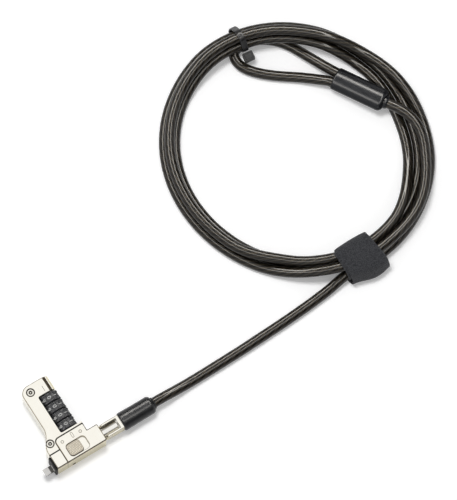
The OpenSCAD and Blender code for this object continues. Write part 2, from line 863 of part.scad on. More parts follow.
// Moulded sleeve over the crimp, rounded where the cable leaves
module cable_sleeve() {
    r = sleeve_d / 2;
    color(black) along_x(sleeve_x, post_y, post_z) rotate_extrude() difference() {
        union() {
            square([r, sleeve_len - sleeve_nose]);
            translate([0, sleeve_len - sleeve_nose - cut]) square([r - sleeve_nose, sleeve_nose + cut]);
            intersection() {
                translate([r - sleeve_nose, sleeve_len - sleeve_nose]) circle(sleeve_nose);
                translate([0, sleeve_len - sleeve_nose - cut]) square([r, over]);
            }
        }
        translate([-cut, -cut]) square([tail_r + 0.3 + cut, over]);
        translate([-cut, barrel_x - run_gap - sleeve_x])
            square([barrel_or + run_gap + cut, barrel_end + 2 * run_gap - barrel_x]);
        translate([-cut, barrel_end - sleeve_x]) square([cable_r + run_gap + cut, over]);
    }
}

module cable_lead() {
    color(cord_black) tube(lead_path, cable_r, lead_sides);
}

module cable_coil() {
    color(cord_black) tube(coil_path, cable_r, coil_sides);
}

module cable_eye() {
    color(cord_black) tube(eye_path, cable_r, lead_sides);
}

module at_ferrule() {
    translate(ferrule_left) rotate([0, 0, ferrule_turn]) rotate([0, ferrule_tilt, 0])
        translate([-ferrule_len, 0, 0]) children();
}

// Flat oval bar along X, width along Y
module oval_bar(x, length, w, t) {
    shift = (w - t) / 2;
    for (s = [-1, 1]) {
        along_x(x, s * shift, 0) cylinder(h = length, d = t);
    }
    block([x, -shift, -t / 2], [x + length, shift, t / 2]);
}

module ferrule_cover() {
    color(black) at_ferrule() difference() {
        oval_bar(0, ferrule_len, ferrule_w, ferrule_t);
        oval_bar(hole_depth + 0.4, ferrule_len - 2 * hole_depth - 0.8, crimp_w + 0.1, crimp_t + 0.1);
        along_x(-cut, 0, 0) cylinder(h = hole_depth + cut, r = cable_r + run_gap);
        for (s = [-1, 1]) {
            along_x(ferrule_len - hole_depth, s * leg_shift, 0)
                cylinder(h = hole_depth + cut, r = cable_r + run_gap);
        }
    }
}

module ferrule_crimp() {
    color(steel) at_ferrule()
        oval_bar(hole_depth + 0.5, ferrule_len - 2 * hole_depth - 1, crimp_w, crimp_t);
}

// Ring around cable cross-sections, listed as [distance, height], drawn more than the cable's radius
module bundle_ring(spots, more) {
    hull() for (spot = spots) {
        translate(spot) circle(cable_r + more, $fn = 32);
    }
}

strap_mid_x = coil_x + bundle_r(strap_a) * cos(strap_a);
strap_half_a = atan(strap_len / 2 / loop_r);
strap_spots = [
    for (w = [0, 360, 720, 1080]) for (s = [-1, 0, 1]) for (sag = [0, chord_sag])
        let (p = coil_point(w + strap_a - start_a + s * strap_half_a))
            [p[1] + sag, p[2]]
];

module strap() {
    color(black) translate([strap_mid_x - strap_len / 2, 0, 0]) rotate([90, 0, 90])
        linear_extrude(strap_len) difference() {
            bundle_ring(strap_spots, strap_clear + strap_t);
            bundle_ring(strap_spots, strap_clear);
        }
}

// Cable tie round the bundle and the far end of the eye, in a plane through the coil's axis
function tie_spot(p) = [norm([p[0] - coil_x, p[1] - coil_y]), p[2]];
tie_spots = concat(
    [for (w = [0, 360, 720]) for (sag = [0, chord_sag])
        tie_spot(coil_point(w + tie_a - start_a + 360)) - [sag, 0]],
    [for (sag = [0, chord_sag]) tie_spot(eye_bend) - [sag, 0]]
);
tie_inner = min([for (spot = tie_spots) spot[0]]) - cable_r - tie_clear - tie_t;

module at_tie(width) {
    translate([coil_x, coil_y, 0]) rotate([90, 0, tie_a]) translate([0, 0, -width / 2]) children();
}

module tie_band() {
    color(black) at_tie(tie_w) linear_extrude(tie_w) difference() {
        bundle_ring(tie_spots, tie_clear + tie_t);
        bundle_ring(tie_spots, tie_clear);
    }
}

module tie_head() {
    color(black) at_tie(tie_head_w) translate([tie_inner - tie_head_l - 0.1, cable_r + eye_lift - tie_head_h, 0])
        cube([tie_head_l, tie_head_h, tie_head_w]);
}

base_shell();
arm_cover();
latch_cover();
nose_block();
face_pad();
nose_hook();
hook_rivets();
cover_screws();
detent_comb();
lock_pin();
latch_carriage();
thumb_pad();
latch_spring();
number_wheel(0);  // wheel_1
number_wheel(1);  // wheel_2
number_wheel(2);  // wheel_3
number_wheel(3);  // wheel_4
wheel_hub(0);  // wheel_hub_1
wheel_hub(1);  // wheel_hub_2
wheel_hub(2);  // wheel_hub_3
wheel_hub(3);  // wheel_hub_4
spindle();
spindle_spring();
reset_plunger();
reset_spring();
swivel_post();
post_ring();
yoke();
yoke_pin();
crimp_barrel();
cable_sleeve();
cable_lead();
cable_coil();
cable_eye();
ferrule_cover();
ferrule_crimp();
strap();
tie_band();
tie_head();
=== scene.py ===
"""Looks of the laptop cable lock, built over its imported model. Lengths are in metres."""

import logging
import math
from collections.abc import Callable, Iterable, Sequence
from dataclasses import dataclass, field
from enum import Enum
from functools import cache
from typing import ClassVar

import bmesh
import bpy
from bmesh.types import BMEdge, BMesh, BMFace, BMVert
from mathutils import Matrix, Vector
from mathutils.geometry import convex_hull_2d


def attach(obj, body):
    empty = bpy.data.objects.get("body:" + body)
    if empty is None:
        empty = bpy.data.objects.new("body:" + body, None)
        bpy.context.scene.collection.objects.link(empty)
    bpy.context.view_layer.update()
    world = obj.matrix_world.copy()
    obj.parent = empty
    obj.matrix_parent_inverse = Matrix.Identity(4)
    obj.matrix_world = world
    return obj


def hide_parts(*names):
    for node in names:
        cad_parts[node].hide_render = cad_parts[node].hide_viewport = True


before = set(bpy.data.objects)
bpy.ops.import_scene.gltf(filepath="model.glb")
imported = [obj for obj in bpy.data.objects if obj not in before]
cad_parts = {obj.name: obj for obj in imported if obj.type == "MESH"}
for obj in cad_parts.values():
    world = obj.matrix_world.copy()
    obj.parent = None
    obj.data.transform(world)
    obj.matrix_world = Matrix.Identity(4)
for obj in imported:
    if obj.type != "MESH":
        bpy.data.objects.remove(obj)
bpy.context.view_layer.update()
LOG = logging.getLogger("cable_lock")

Colour = tuple[float, float, float]
Socket = bpy.types.NodeSocket
WHITE = (1.0, 1.0, 1.0, 1.0)
AXIS_X, AXIS_Y, AXIS_Z = Vector((1, 0, 0)), Vector((0, 1, 0)), Vector((0, 0, 1))
MERGE = 2e-6
CUT = 1e-7
NEAR = 1e-5


class Body(Enum):
    """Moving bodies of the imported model, apart from the dials."""

    CABLE = "cable"
    POST = "post"
    HEAD = "head"
    LATCH = "latch"


class Coords(Enum):
    """Places that a pattern is read from."""

    OBJECT = "object"
    LAY = "lay"


class Nodes:
    """Fills a node tree, one node at a time."""

    def __init__(self, tree: bpy.types.NodeTree) -> None:
        """Takes a tree and empties it."""
        self.tree = tree
        tree.nodes.clear()

    def add(self, kind: str, settings: dict[str, object] | None = None, **sockets: object) -> bpy.types.Node:
        """Adds a node.

        Args:
            kind: Blender's name of the node.
            settings: Properties of the node.
            **sockets: Values or sockets for its inputs, spaces written as underscores.

        Returns:
            The new node.
        """
        node = self.tree.nodes.new(kind)
        for key, value in (settings or {}).items():
            setattr(node, key, value)
        for key, value in sockets.items():
            self.feed(node.inputs[key.replace("_", " ")], value)
        return node

    def feed(self, socket: Socket, value: object) -> None:
        """Links a socket to another, or gives it a fixed value.

        Args:
            socket: The input.
            value: A socket or a value.
        """
        if isinstance(value, Socket):
            self.tree.links.new(value, socket)
        else:
            socket.default_value = value

    def filled(self, kind: str, *values: object, **settings: object) -> Socket:
        """Adds a node whose inputs are given in their order.

        Args:
            kind: Blender's name of the node.
            *values: Values or sockets for its inputs.
            **settings: Properties of the node.

        Returns:
            Its first output.
        """
        node = self.add(kind, settings)
        for socket, value in zip(node.inputs, values):
            self.feed(socket, value)
        return node.outputs[0]

    def maths(self, operation: str, *values: object) -> Socket:
        """Result of a sum on up to three values."""
        return self.filled("ShaderNodeMath", *values, operation=operation)

    def seen(self) -> Socket:
        """Socket that is 1 for rays from the camera, from gloss and through glass, and 0 for others.

        Returns:
            The socket.
        """
        path = self.add("ShaderNodeLightPath").outputs
        polished = self.maths("MAXIMUM", path["Is Camera Ray"], path["Is Glossy Ray"])
        return self.maths("MAXIMUM", polished, path["Is Transmission Ray"])


class Recipe(Nodes):
    """Node tree of one material."""

    def __init__(self, name: str, coords: Coords = Coords.OBJECT) -> None:
        """Starts an empty material.

        Args:
            name: Name of the material.
            coords: Where its patterns are read from.
        """
        self.material = bpy.data.materials.new(name)
        self.material.use_nodes = True
        super().__init__(self.material.node_tree)
        if coords is Coords.LAY:
            self.coords = self.add("ShaderNodeUVMap", {"uv_map": coords.value}).outputs["UV"]
        else:
            self.coords = self.add("ShaderNodeTexCoord").outputs["Object"]

    def noise(self, size: float, detail: float) -> Socket:
        """Cloudy pattern, with patches of a size in metres and a number of finer octaves."""
        return self.add(
            "ShaderNodeTexNoise", Vector=self.coords, Scale=1.0 / size, Detail=detail, Roughness=0.55
        ).outputs["Fac"]

    def cells(self, size: float) -> Socket:
        """Distance to the middle of cells of the given size."""
        return self.add(
            "ShaderNodeTexVoronoi", Vector=self.coords, Scale=1.0 / size, Randomness=0.75
        ).outputs["Distance"]

    def span(self, value: Socket, low: float, high: float, start: float = 0.3, end: float = 0.7) -> Socket:
        """Maps a value, so that start gives low and end gives high."""
        return self.add(
            "ShaderNodeMapRange", Value=value, From_Min=start, From_Max=end, To_Min=low, To_Max=high
        ).outputs[0]

    def blend(self, factor: Socket, low: Colour, high: Colour) -> Socket:
        """Colour between two others.

        Args:
            factor: 0 gives low and 1 gives high.
            low: First colour.
            high: Second colour.

        Returns:
            The socket with the colour.
        """
        node = self.add("ShaderNodeMix", {"data_type": "RGBA"})
        for socket, value in zip(node.inputs[:1] + node.inputs[6:8], (factor, (*low, 1.0), (*high, 1.0))):
            self.feed(socket, value)
        return node.outputs[2]

    def relief(self, height: Socket, strength: float, depth: float, under: Socket | None = None) -> Socket:
        """Normal of a fine relief whose height of 1 stands for a depth, laid over another relief if given."""
        base = {} if under is None else {"Normal": under}
        return self.add("ShaderNodeBump", Strength=strength, Distance=depth, Height=height, **base).outputs[0]

    def cover(self, shader: Socket) -> bpy.types.Material:
        """Makes a shader the material's surface, and gives the material."""
        self.add("ShaderNodeOutputMaterial", Surface=shader)
        return self.material

    def finish(self, **sockets: object) -> bpy.types.Material:
        """Gives the material a surface with these inputs."""
        return self.cover(self.add("ShaderNodeBsdfPrincipled", **sockets).outputs[0])

    def grained(
        self, look: "Metal | Moulding", patch: float, detail: float, strength: float, **sockets: object
    ) -> bpy.types.Material:
        """Surface with faint clouds in its colour and a fine grain.

        Args:
            look: The finish, with its colours, its gloss and its grain.
            patch: Size of the clouds.
            detail: Number of finer octaves of the grain.
            strength: Strength of the grain's relief.
            **sockets: More inputs of the surface.

        Returns:
            The material.
        """
        clouds = self.span(self.noise(patch, 4.0), 0.0, 1.0)
        grain = self.noise(look.grain, detail)
        return self.finish(
            Base_Color=self.blend(clouds, look.deep, look.tint),
            Roughness=self.span(grain, look.gloss, look.dull),
            Normal=self.relief(grain, strength, look.depth),
            **sockets,
        )


@dataclass(frozen=True)
class Metal:
    """Plated, cast or turned metal with faint cloudiness and fine grain."""

    name: str
    tint: Colour
    deep: Colour
    gloss: float
    dull: float
    grain: float = 0.00022
    depth: float = 0.0000003

    def build(self) -> bpy.types.Material:
        """Makes the material.

        Returns:
            The material.
        """
        return Recipe(self.name).grained(self, 0.006, 3.0, 0.5, Metallic=1.0)


@dataclass(frozen=True)
class Moulding:
    """Moulded plastic or rubber: a fine grain, faint cloudiness and a skin with its own gloss."""

    name: str
    tint: Colour
    deep: Colour
    gloss: float
    dull: float
    shine: float = 0.5
    grain: float = 0.00035
    depth: float = 0.000004

    def build(self) -> bpy.types.Material:
        """Makes the material.

        Returns:
            The material.
        """
        return Recipe(self.name).grained(self, 0.004, 2.0, 0.6, Specular_IOR_Level=self.shine)


@dataclass(frozen=True)
class Paint:
    """Paint of the digits, worn thin in small spots."""

    name: str
    tint: Colour
    worn: Colour

    def build(self) -> bpy.types.Material:
        """Makes the material.

        Returns:
            The material.
        """
        recipe = Recipe(self.name)
        wear = recipe.noise(0.0004, 3.0)
        return recipe.finish(
            Base_Color=recipe.blend(recipe.span(wear, 0.0, 1.0, 0.3, 0.5), self.worn, self.tint),
            Roughness=recipe.span(wear, 0.5, 0.7),
        )


@dataclass(frozen=True)
class CoatedStrands:
    """Twisted steel strands under a smooth clear coat."""

    name: str
    crown: Colour
    valley: Colour
    strands: int = 8
    lay_length: float = 0.046
    wires: int = 4
    gloss: float = 0.06
    film: float = 0.5

    def build(self) -> bpy.types.Material:
        """Makes the material.

        Returns:
            The material.
        """
        recipe = Recipe(self.name, Coords.LAY)
        along, around, _ = recipe.add("ShaderNodeSeparateXYZ", Vector=recipe.coords).outputs

        def twist(lay: float, count: int) -> Socket:
            """Waves across a number of threads that wind round the cable, with their turns for one metre."""
            turn = recipe.maths("MULTIPLY_ADD", along, lay, around)
            return recipe.maths("COSINE", recipe.maths("MULTIPLY", turn, math.tau * count))

        strand = twist(1.0 / self.lay_length, self.strands)
        wire = twist(-0.6 / self.lay_length, self.strands * self.wires)
        height = recipe.maths("MULTIPLY_ADD", wire, 0.14, strand)
        spot = recipe.add("ShaderNodeTexNoise", Vector=recipe.coords, Scale=240.0, Detail=3.0).outputs["Fac"]
        tone = recipe.maths("MULTIPLY", recipe.span(height, 0.0, 1.0, -0.9, 1.1), recipe.span(spot, 0.55, 1.15))
        return recipe.finish(
            Base_Color=recipe.blend(tone, self.valley, self.crown),
            Metallic=0.3,
            Roughness=0.42,
            Specular_IOR_Level=0.06,
            Normal=recipe.relief(recipe.span(height, 0.0, 1.0, -1.1, 1.1), 0.3, 0.00025),
            Coat_Weight=self.film,
            Coat_Roughness=self.gloss,
            Coat_IOR=1.45,
        )


@dataclass(frozen=True)
class LoopFabric:
    """Brushed loop fabric of a hook and loop strap: nubs, fuzz and a soft sheen."""

    name: str
    tint: Colour
    deep: Colour
    nub: float = 0.0007

    def build(self) -> bpy.types.Material:
        """Makes the material.

        Returns:
            The material.
        """
        recipe = Recipe(self.name)
        nubs = recipe.span(recipe.cells(self.nub), 1.0, 0.0, 0.0, 0.75)
        fuzz = recipe.noise(0.00025, 3.0)
        shade = recipe.maths("MULTIPLY", nubs, recipe.span(fuzz, 0.55, 1.2))
        soft = recipe.relief(nubs, 0.75, 0.00022)
        return recipe.finish(
            Base_Color=recipe.blend(shade, self.deep, self.tint),
            Roughness=recipe.span(fuzz, 0.82, 0.98),
            Normal=recipe.relief(fuzz, 0.5, 0.00008, soft),
            Specular_IOR_Level=0.15,
            Sheen_Weight=0.12,
            Sheen_Roughness=0.5,
        )


NICKEL = Metal("nickel_satin", (0.955, 0.93, 0.85), (0.93, 0.90, 0.815), 0.09, 0.12)
# Painted shade: darker tan for the front walls and the barrel's far side, standing in for a shaded reflection.
NICKEL_SHADED_WALL = Metal("nickel_painted_shade_wall", (0.70, 0.645, 0.47), (0.65, 0.595, 0.425), 0.18, 0.25)
# Painted shade: dark brown for rounded edges and for the strip under the front top edge.
NICKEL_SHADE_FADE = Metal("nickel_painted_shade_fade", (0.30, 0.25, 0.165), (0.25, 0.205, 0.13), 0.30, 0.42)
# Painted shade: near black for seams, sinks, gaps and the darkest rounded edges.
NICKEL_SHADE_EDGE = Metal("nickel_painted_shade_edge", (0.065, 0.050, 0.030), (0.045, 0.034, 0.020), 0.32, 0.45)
# Painted shade: a duller tone for the walls that face left.
NICKEL_SHADED_FLANK = Metal("nickel_painted_shade_left_flank", (0.76, 0.735, 0.66), (0.72, 0.695, 0.62), 0.18, 0.25)
# Painted shade: dark tone for the index mark, the window walls, the raised marks and the yoke's opening.
NICKEL_SHADE_MARK = Metal("nickel_painted_shade_mark", (0.33, 0.30, 0.235), (0.27, 0.24, 0.19), 0.30, 0.42)
PAD_METAL = Metal("thumb_pad_nickel", (0.95, 0.895, 0.775), (0.87, 0.81, 0.69), 0.22, 0.3)
# Painted shade: the pad's ground between its grip points.
PAD_SHADED_GROUND = Metal("thumb_pad_painted_shade_ground", (0.60, 0.545, 0.45), (0.53, 0.48, 0.39), 0.22, 0.3)
STEEL = Metal("bright_steel", (0.66, 0.65, 0.63), (0.58, 0.57, 0.55), 0.12, 0.2)
CHROME = Metal("chrome_post", (0.88, 0.865, 0.82), (0.84, 0.82, 0.775), 0.12, 0.15, 0.002, 0.0000001)
SCREW_HEAD = Metal("screw_steel", (0.84, 0.82, 0.75), (0.78, 0.755, 0.68), 0.2, 0.3)
# Painted shade: near black for the screw recesses, the reset hole and its plunger, and faces hidden under the covers.
RECESS_SHADE = Metal("recess_painted_shade", (0.05, 0.04, 0.03), (0.03, 0.025, 0.02), 0.4, 0.55)
# Painted shade: dark steel tone for the slit under the hook and the lock pin in it.
PIN_SLIT_SHADE = Metal("pin_slit_painted_shade", (0.115, 0.112, 0.105), (0.08, 0.078, 0.072), 0.28, 0.4)
SPRING_STEEL = Metal("spring_steel", (0.42, 0.41, 0.40), (0.34, 0.33, 0.32), 0.25, 0.4)
WHEEL_BLACK = Moulding("wheel_black", (0.022, 0.023, 0.026), (0.013, 0.0135, 0.015), 0.42, 0.58, shine=0.28)
RUBBER = Moulding(
    "face_rubber", (0.014, 0.0135, 0.013), (0.009, 0.009, 0.0085), 0.5, 0.68, depth=0.00004, shine=0.2
)
SLEEVE_VINYL = Moulding(
    "sleeve_vinyl", (0.010, 0.0105, 0.012), (0.007, 0.0075, 0.0085), 0.27, 0.31, shine=0.3, depth=0.0000015
)
FERRULE_GLOSS = Moulding(
    "ferrule_gloss", (0.008, 0.009, 0.0112), (0.0055, 0.0062, 0.0078), 0.2, 0.24, shine=0.24, depth=0.000001
)
NYLON = Moulding(
    "tie_nylon", (0.010, 0.010, 0.011), (0.007, 0.007, 0.0075), 0.3, 0.36, shine=0.26, depth=0.000001
)
TIE_HEAD = Moulding("tie_head_nylon", (0.075, 0.075, 0.074), (0.045, 0.045, 0.045), 0.45, 0.6, shine=0.3)
DIGIT_PAINT = Paint("digit_paint", (0.62, 0.62, 0.60), (0.28, 0.28, 0.27))
CABLE_COAT = CoatedStrands("coated_cable", (0.027, 0.0215, 0.014), (0.0022, 0.0019, 0.0015))
STRAP_FABRIC = LoopFabric("strap_loop_fabric", (0.082, 0.083, 0.090), (0.027, 0.028, 0.031))
DARK_GLOSS = (CABLE_COAT, SLEEVE_VINYL, FERRULE_GLOSS, NYLON, WHEEL_BLACK)

Finish = Metal | Moulding | Paint | CoatedStrands | LoopFabric


@cache
def material(finish: Finish) -> bpy.types.Material:
    """Gives the material of a finish, made when it is first asked for."""
    return finish.build()


def in_scene(name: str, data: bpy.types.ID) -> bpy.types.Object:
    """Puts an object with this data into the scene, and gives it.

    Args:
        name: Name of the object.
        data: Its mesh, curve or light.

    Returns:
        The object.
    """
    thing = bpy.data.objects.new(name, data)
    bpy.context.scene.collection.objects.link(thing)
    return thing


def placed(name: str, bm: BMesh, *materials: bpy.types.Material) -> bpy.types.Object:
    """Makes a shape an object of the scene.

    Args:
        name: Name of the object.
        bm: The shape, which is freed.
        *materials: Its materials, in the order of its faces' indices.

    Returns:
        The object.
    """
    mesh = bpy.data.meshes.new(name)
    bm.to_mesh(mesh)
    bm.free()
    for finish in materials:
        mesh.materials.append(finish)
    return in_scene(name, mesh)


def posed(place: Vector, right: Vector, top: Vector, back: Vector) -> Matrix:
    """Place and directions of an object, as one matrix."""
    return Matrix.Translation(place) @ Matrix((right, top, back)).transposed().to_4x4()


def on_circle(turn: float) -> Vector:
    """Point of the unit circle in the XY plane, at an angle in degrees."""
    return Vector((math.cos(math.radians(turn)), math.sin(math.radians(turn)), 0.0))


def merged_copy(node: str) -> BMesh:
    """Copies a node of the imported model.

    Args:
        node: Name of the node.

    Returns:
        Its shape with merged points and whole flat faces.
    """
    bm = bmesh.new()
    bm.from_mesh(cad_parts[node].data)
    bmesh.ops.remove_doubles(bm, verts=bm.verts, dist=MERGE)
    bmesh.ops.dissolve_limit(
        bm, angle_limit=math.radians(0.7), verts=bm.verts, edges=bm.edges, use_dissolve_boundaries=False
    )
    return bm


def middle(edge: BMEdge) -> Vector:
    """Middle of an edge."""
    return (edge.verts[0].co + edge.verts[1].co) / 2


def faces(bm: BMesh, wanted: Callable[[Vector, Vector], bool]) -> list[BMFace]:
    """Faces whose direction and middle pass a test."""
    return [f for f in bm.faces if wanted(f.normal, f.calc_center_median())]


def upright(normal: Vector) -> bool:
    """Whether a face with this direction is a wall."""
    return abs(normal.z) < 0.2


def soften(
    bm: BMesh,
    width: float,
    segments: int,
    wanted: Callable[[BMEdge], bool],
    sharp: float = 35.0,
    clamp: bool = True,
    hollow: bool = False,
) -> list[BMFace]:
    """Rounds chosen edges.

    Args:
        bm: Shape that is changed.
        width: Width taken off each side of an edge.
        segments: Number of faces across the rounding.
        wanted: Says whether an edge is rounded.
        sharp: Least angle in degrees between the faces of an edge that is rounded.
        clamp: Whether short edges nearby hold the width back.
        hollow: Whether inner edges are rounded in place of outer ones.

    Returns:
        The new faces.
    """
    edges = [
        e
        for e in bm.edges
        if e.is_manifold and e.is_convex != hollow and e.calc_face_angle(0.0) > math.radians(sharp) and wanted(e)
    ]
    if not edges:
        return []
    return bmesh.ops.bevel(
        bm, geom=edges, offset=width, offset_type="OFFSET", segments=segments, profile=0.5, affect="EDGES",
        clamp_overlap=clamp, material=-1,
    )["faces"]


def score(bm: BMesh, place: Vector, normal: Vector) -> None:
    """Cuts a line into a shape where a plane meets it."""
    bmesh.ops.bisect_plane(
        bm, geom=bm.verts[:] + bm.edges[:] + bm.faces[:], plane_co=place, plane_no=normal, dist=CUT
    )


def turned(
    profile: Sequence[tuple[float, float]], origin: Vector, axis: Vector, steps: int, closed: bool = True
) -> BMesh:
    """Turns a profile about an axis, as on a lathe.

    Args:
        profile: Pairs of place along the axis and radius.
        origin: Point on the axis.
        axis: Unit direction of the axis.
        steps: Number of faces around.
        closed: Whether the last pair joins the first.

    Returns:
        The turned shape.
    """
    bm = bmesh.new()
    out = axis.orthogonal().normalized()
    verts = [bm.verts.new(origin + axis * a + out * r) for a, r in profile]
    pairs = list(zip(verts, verts[1:])) + ([(verts[-1], verts[0])] if closed else [])
    edges = [bm.edges.new(pair) for pair in pairs]
    bmesh.ops.spin(
        bm, geom=verts + edges, cent=origin, axis=axis, angle=math.tau, steps=steps, use_merge=True,
        use_duplicate=False,
    )
    bmesh.ops.remove_doubles(bm, verts=bm.verts, dist=MERGE)
    bmesh.ops.recalc_face_normals(bm, faces=bm.faces)
    return bm


def skinned(rings: Sequence[Sequence[Vector]], closed: bool = True, capped: bool = True) -> BMesh:
    """Pulls an outline along a row of rings.

    Args:
        rings: Points of each ring, as many in each.
        closed: Whether each ring closes on itself.
        capped: Whether both ends are closed.

    Returns:
        The shape, with the layers "row" and "side" on its points.
    """
    bm = bmesh.new()
    row = bm.verts.layers.int.new("row")
    side = bm.verts.layers.int.new("side")
    count = len(rings[0])
    verts = [bm.verts.new(co) for co in rings[0]]
    for k, vert in enumerate(verts):
        vert[side] = k
    edges = [bm.edges.new(pair) for pair in zip(verts, verts[1:] + verts[:1] if closed else verts[1:])]
    if capped:
        bm.faces.new(verts)
    for i, ring in enumerate(rings[1:], 1):
        made = bmesh.ops.extrude_edge_only(bm, edges=edges)["geom"]
        verts = [g for g in made if isinstance(g, BMVert)]
        edges = [g for g in made if isinstance(g, BMEdge)]
        for vert in verts:
            vert.co = ring[vert[side]]
            vert[row] = i
    if capped:
        bm.faces.new(sorted(verts, key=lambda v: v[side]))
    bmesh.ops.recalc_face_normals(bm, faces=bm.faces)
    return bm


def paint(chosen: Iterable[BMFace], tones: Sequence[Finish], finish: Finish) -> None:
    """Gives faces one of their piece's finishes."""
    for face in chosen:
        face.material_index = tones.index(finish)


def ramp(value: float, start: float, end: float) -> float:
    """Smooth blend from 0 at start to 1 at end."""
    t = min(max((value - start) / (end - start), 0.0), 1.0)
    return t * t * (3.0 - 2.0 * t)


@dataclass
class SubAssembly:
    """What every sub-assembly does with its pieces."""

    home: ClassVar[Body] = Body.CABLE
    pieces: list[bpy.types.Object] = field(default_factory=list, init=False)

    def keep(
        self,
        bm: BMesh,
        name: str,
        finishes: Sequence[Finish],
        slot: str,
        *stands_for: str,
        sharp: float = 38.0,
        even: bool = True,
        body: str | None = None,
    ) -> bpy.types.Object:
        """Makes a shape a piece of the object.

        Args:
            bm: The shape, which is freed.
            name: Name of the piece.
            finishes: Its materials, in the order of its faces' indices.
            slot: Not used.
            *stands_for: Nodes that it replaces.
            sharp: Angle in degrees from which an edge is shaded as sharp.
            even: Whether large faces keep flat shading beside rounded edges.
            body: Body that it rides on, if it isn't the sub-assembly's own.

        Returns:
            The piece.
        """
        for face in bm.faces:
            face.smooth = True
        for edge in bm.edges:
            edge.smooth = not (edge.is_manifold and edge.calc_face_angle(0.0) > math.radians(sharp))
        piece = placed(name, bm, *map(material, finishes))
        if even:
            piece.modifiers.new("even_shading", "WEIGHTED_NORMAL").keep_sharp = True
        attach(piece, body or self.home.value)
        if stands_for:
            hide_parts(*stands_for)
        self.pieces.append(piece)
        return piece

    def dress(self, finish: Finish, *nodes: str) -> None:
        """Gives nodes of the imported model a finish.

        Args:
            finish: The finish.
            *nodes: Names of the nodes.
        """
        for name in nodes:
            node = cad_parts[name]
            if not node.material_slots:
                node.data.materials.append(None)
            for slot in node.material_slots:
                slot.material = material(finish)
            self.pieces.append(node)

    def report(self) -> None:
        """Logs the names of the pieces."""
        for piece in self.pieces:
            LOG.info("%s: %s, %d faces", type(self).__name__, piece.name, len(piece.data.polygons))


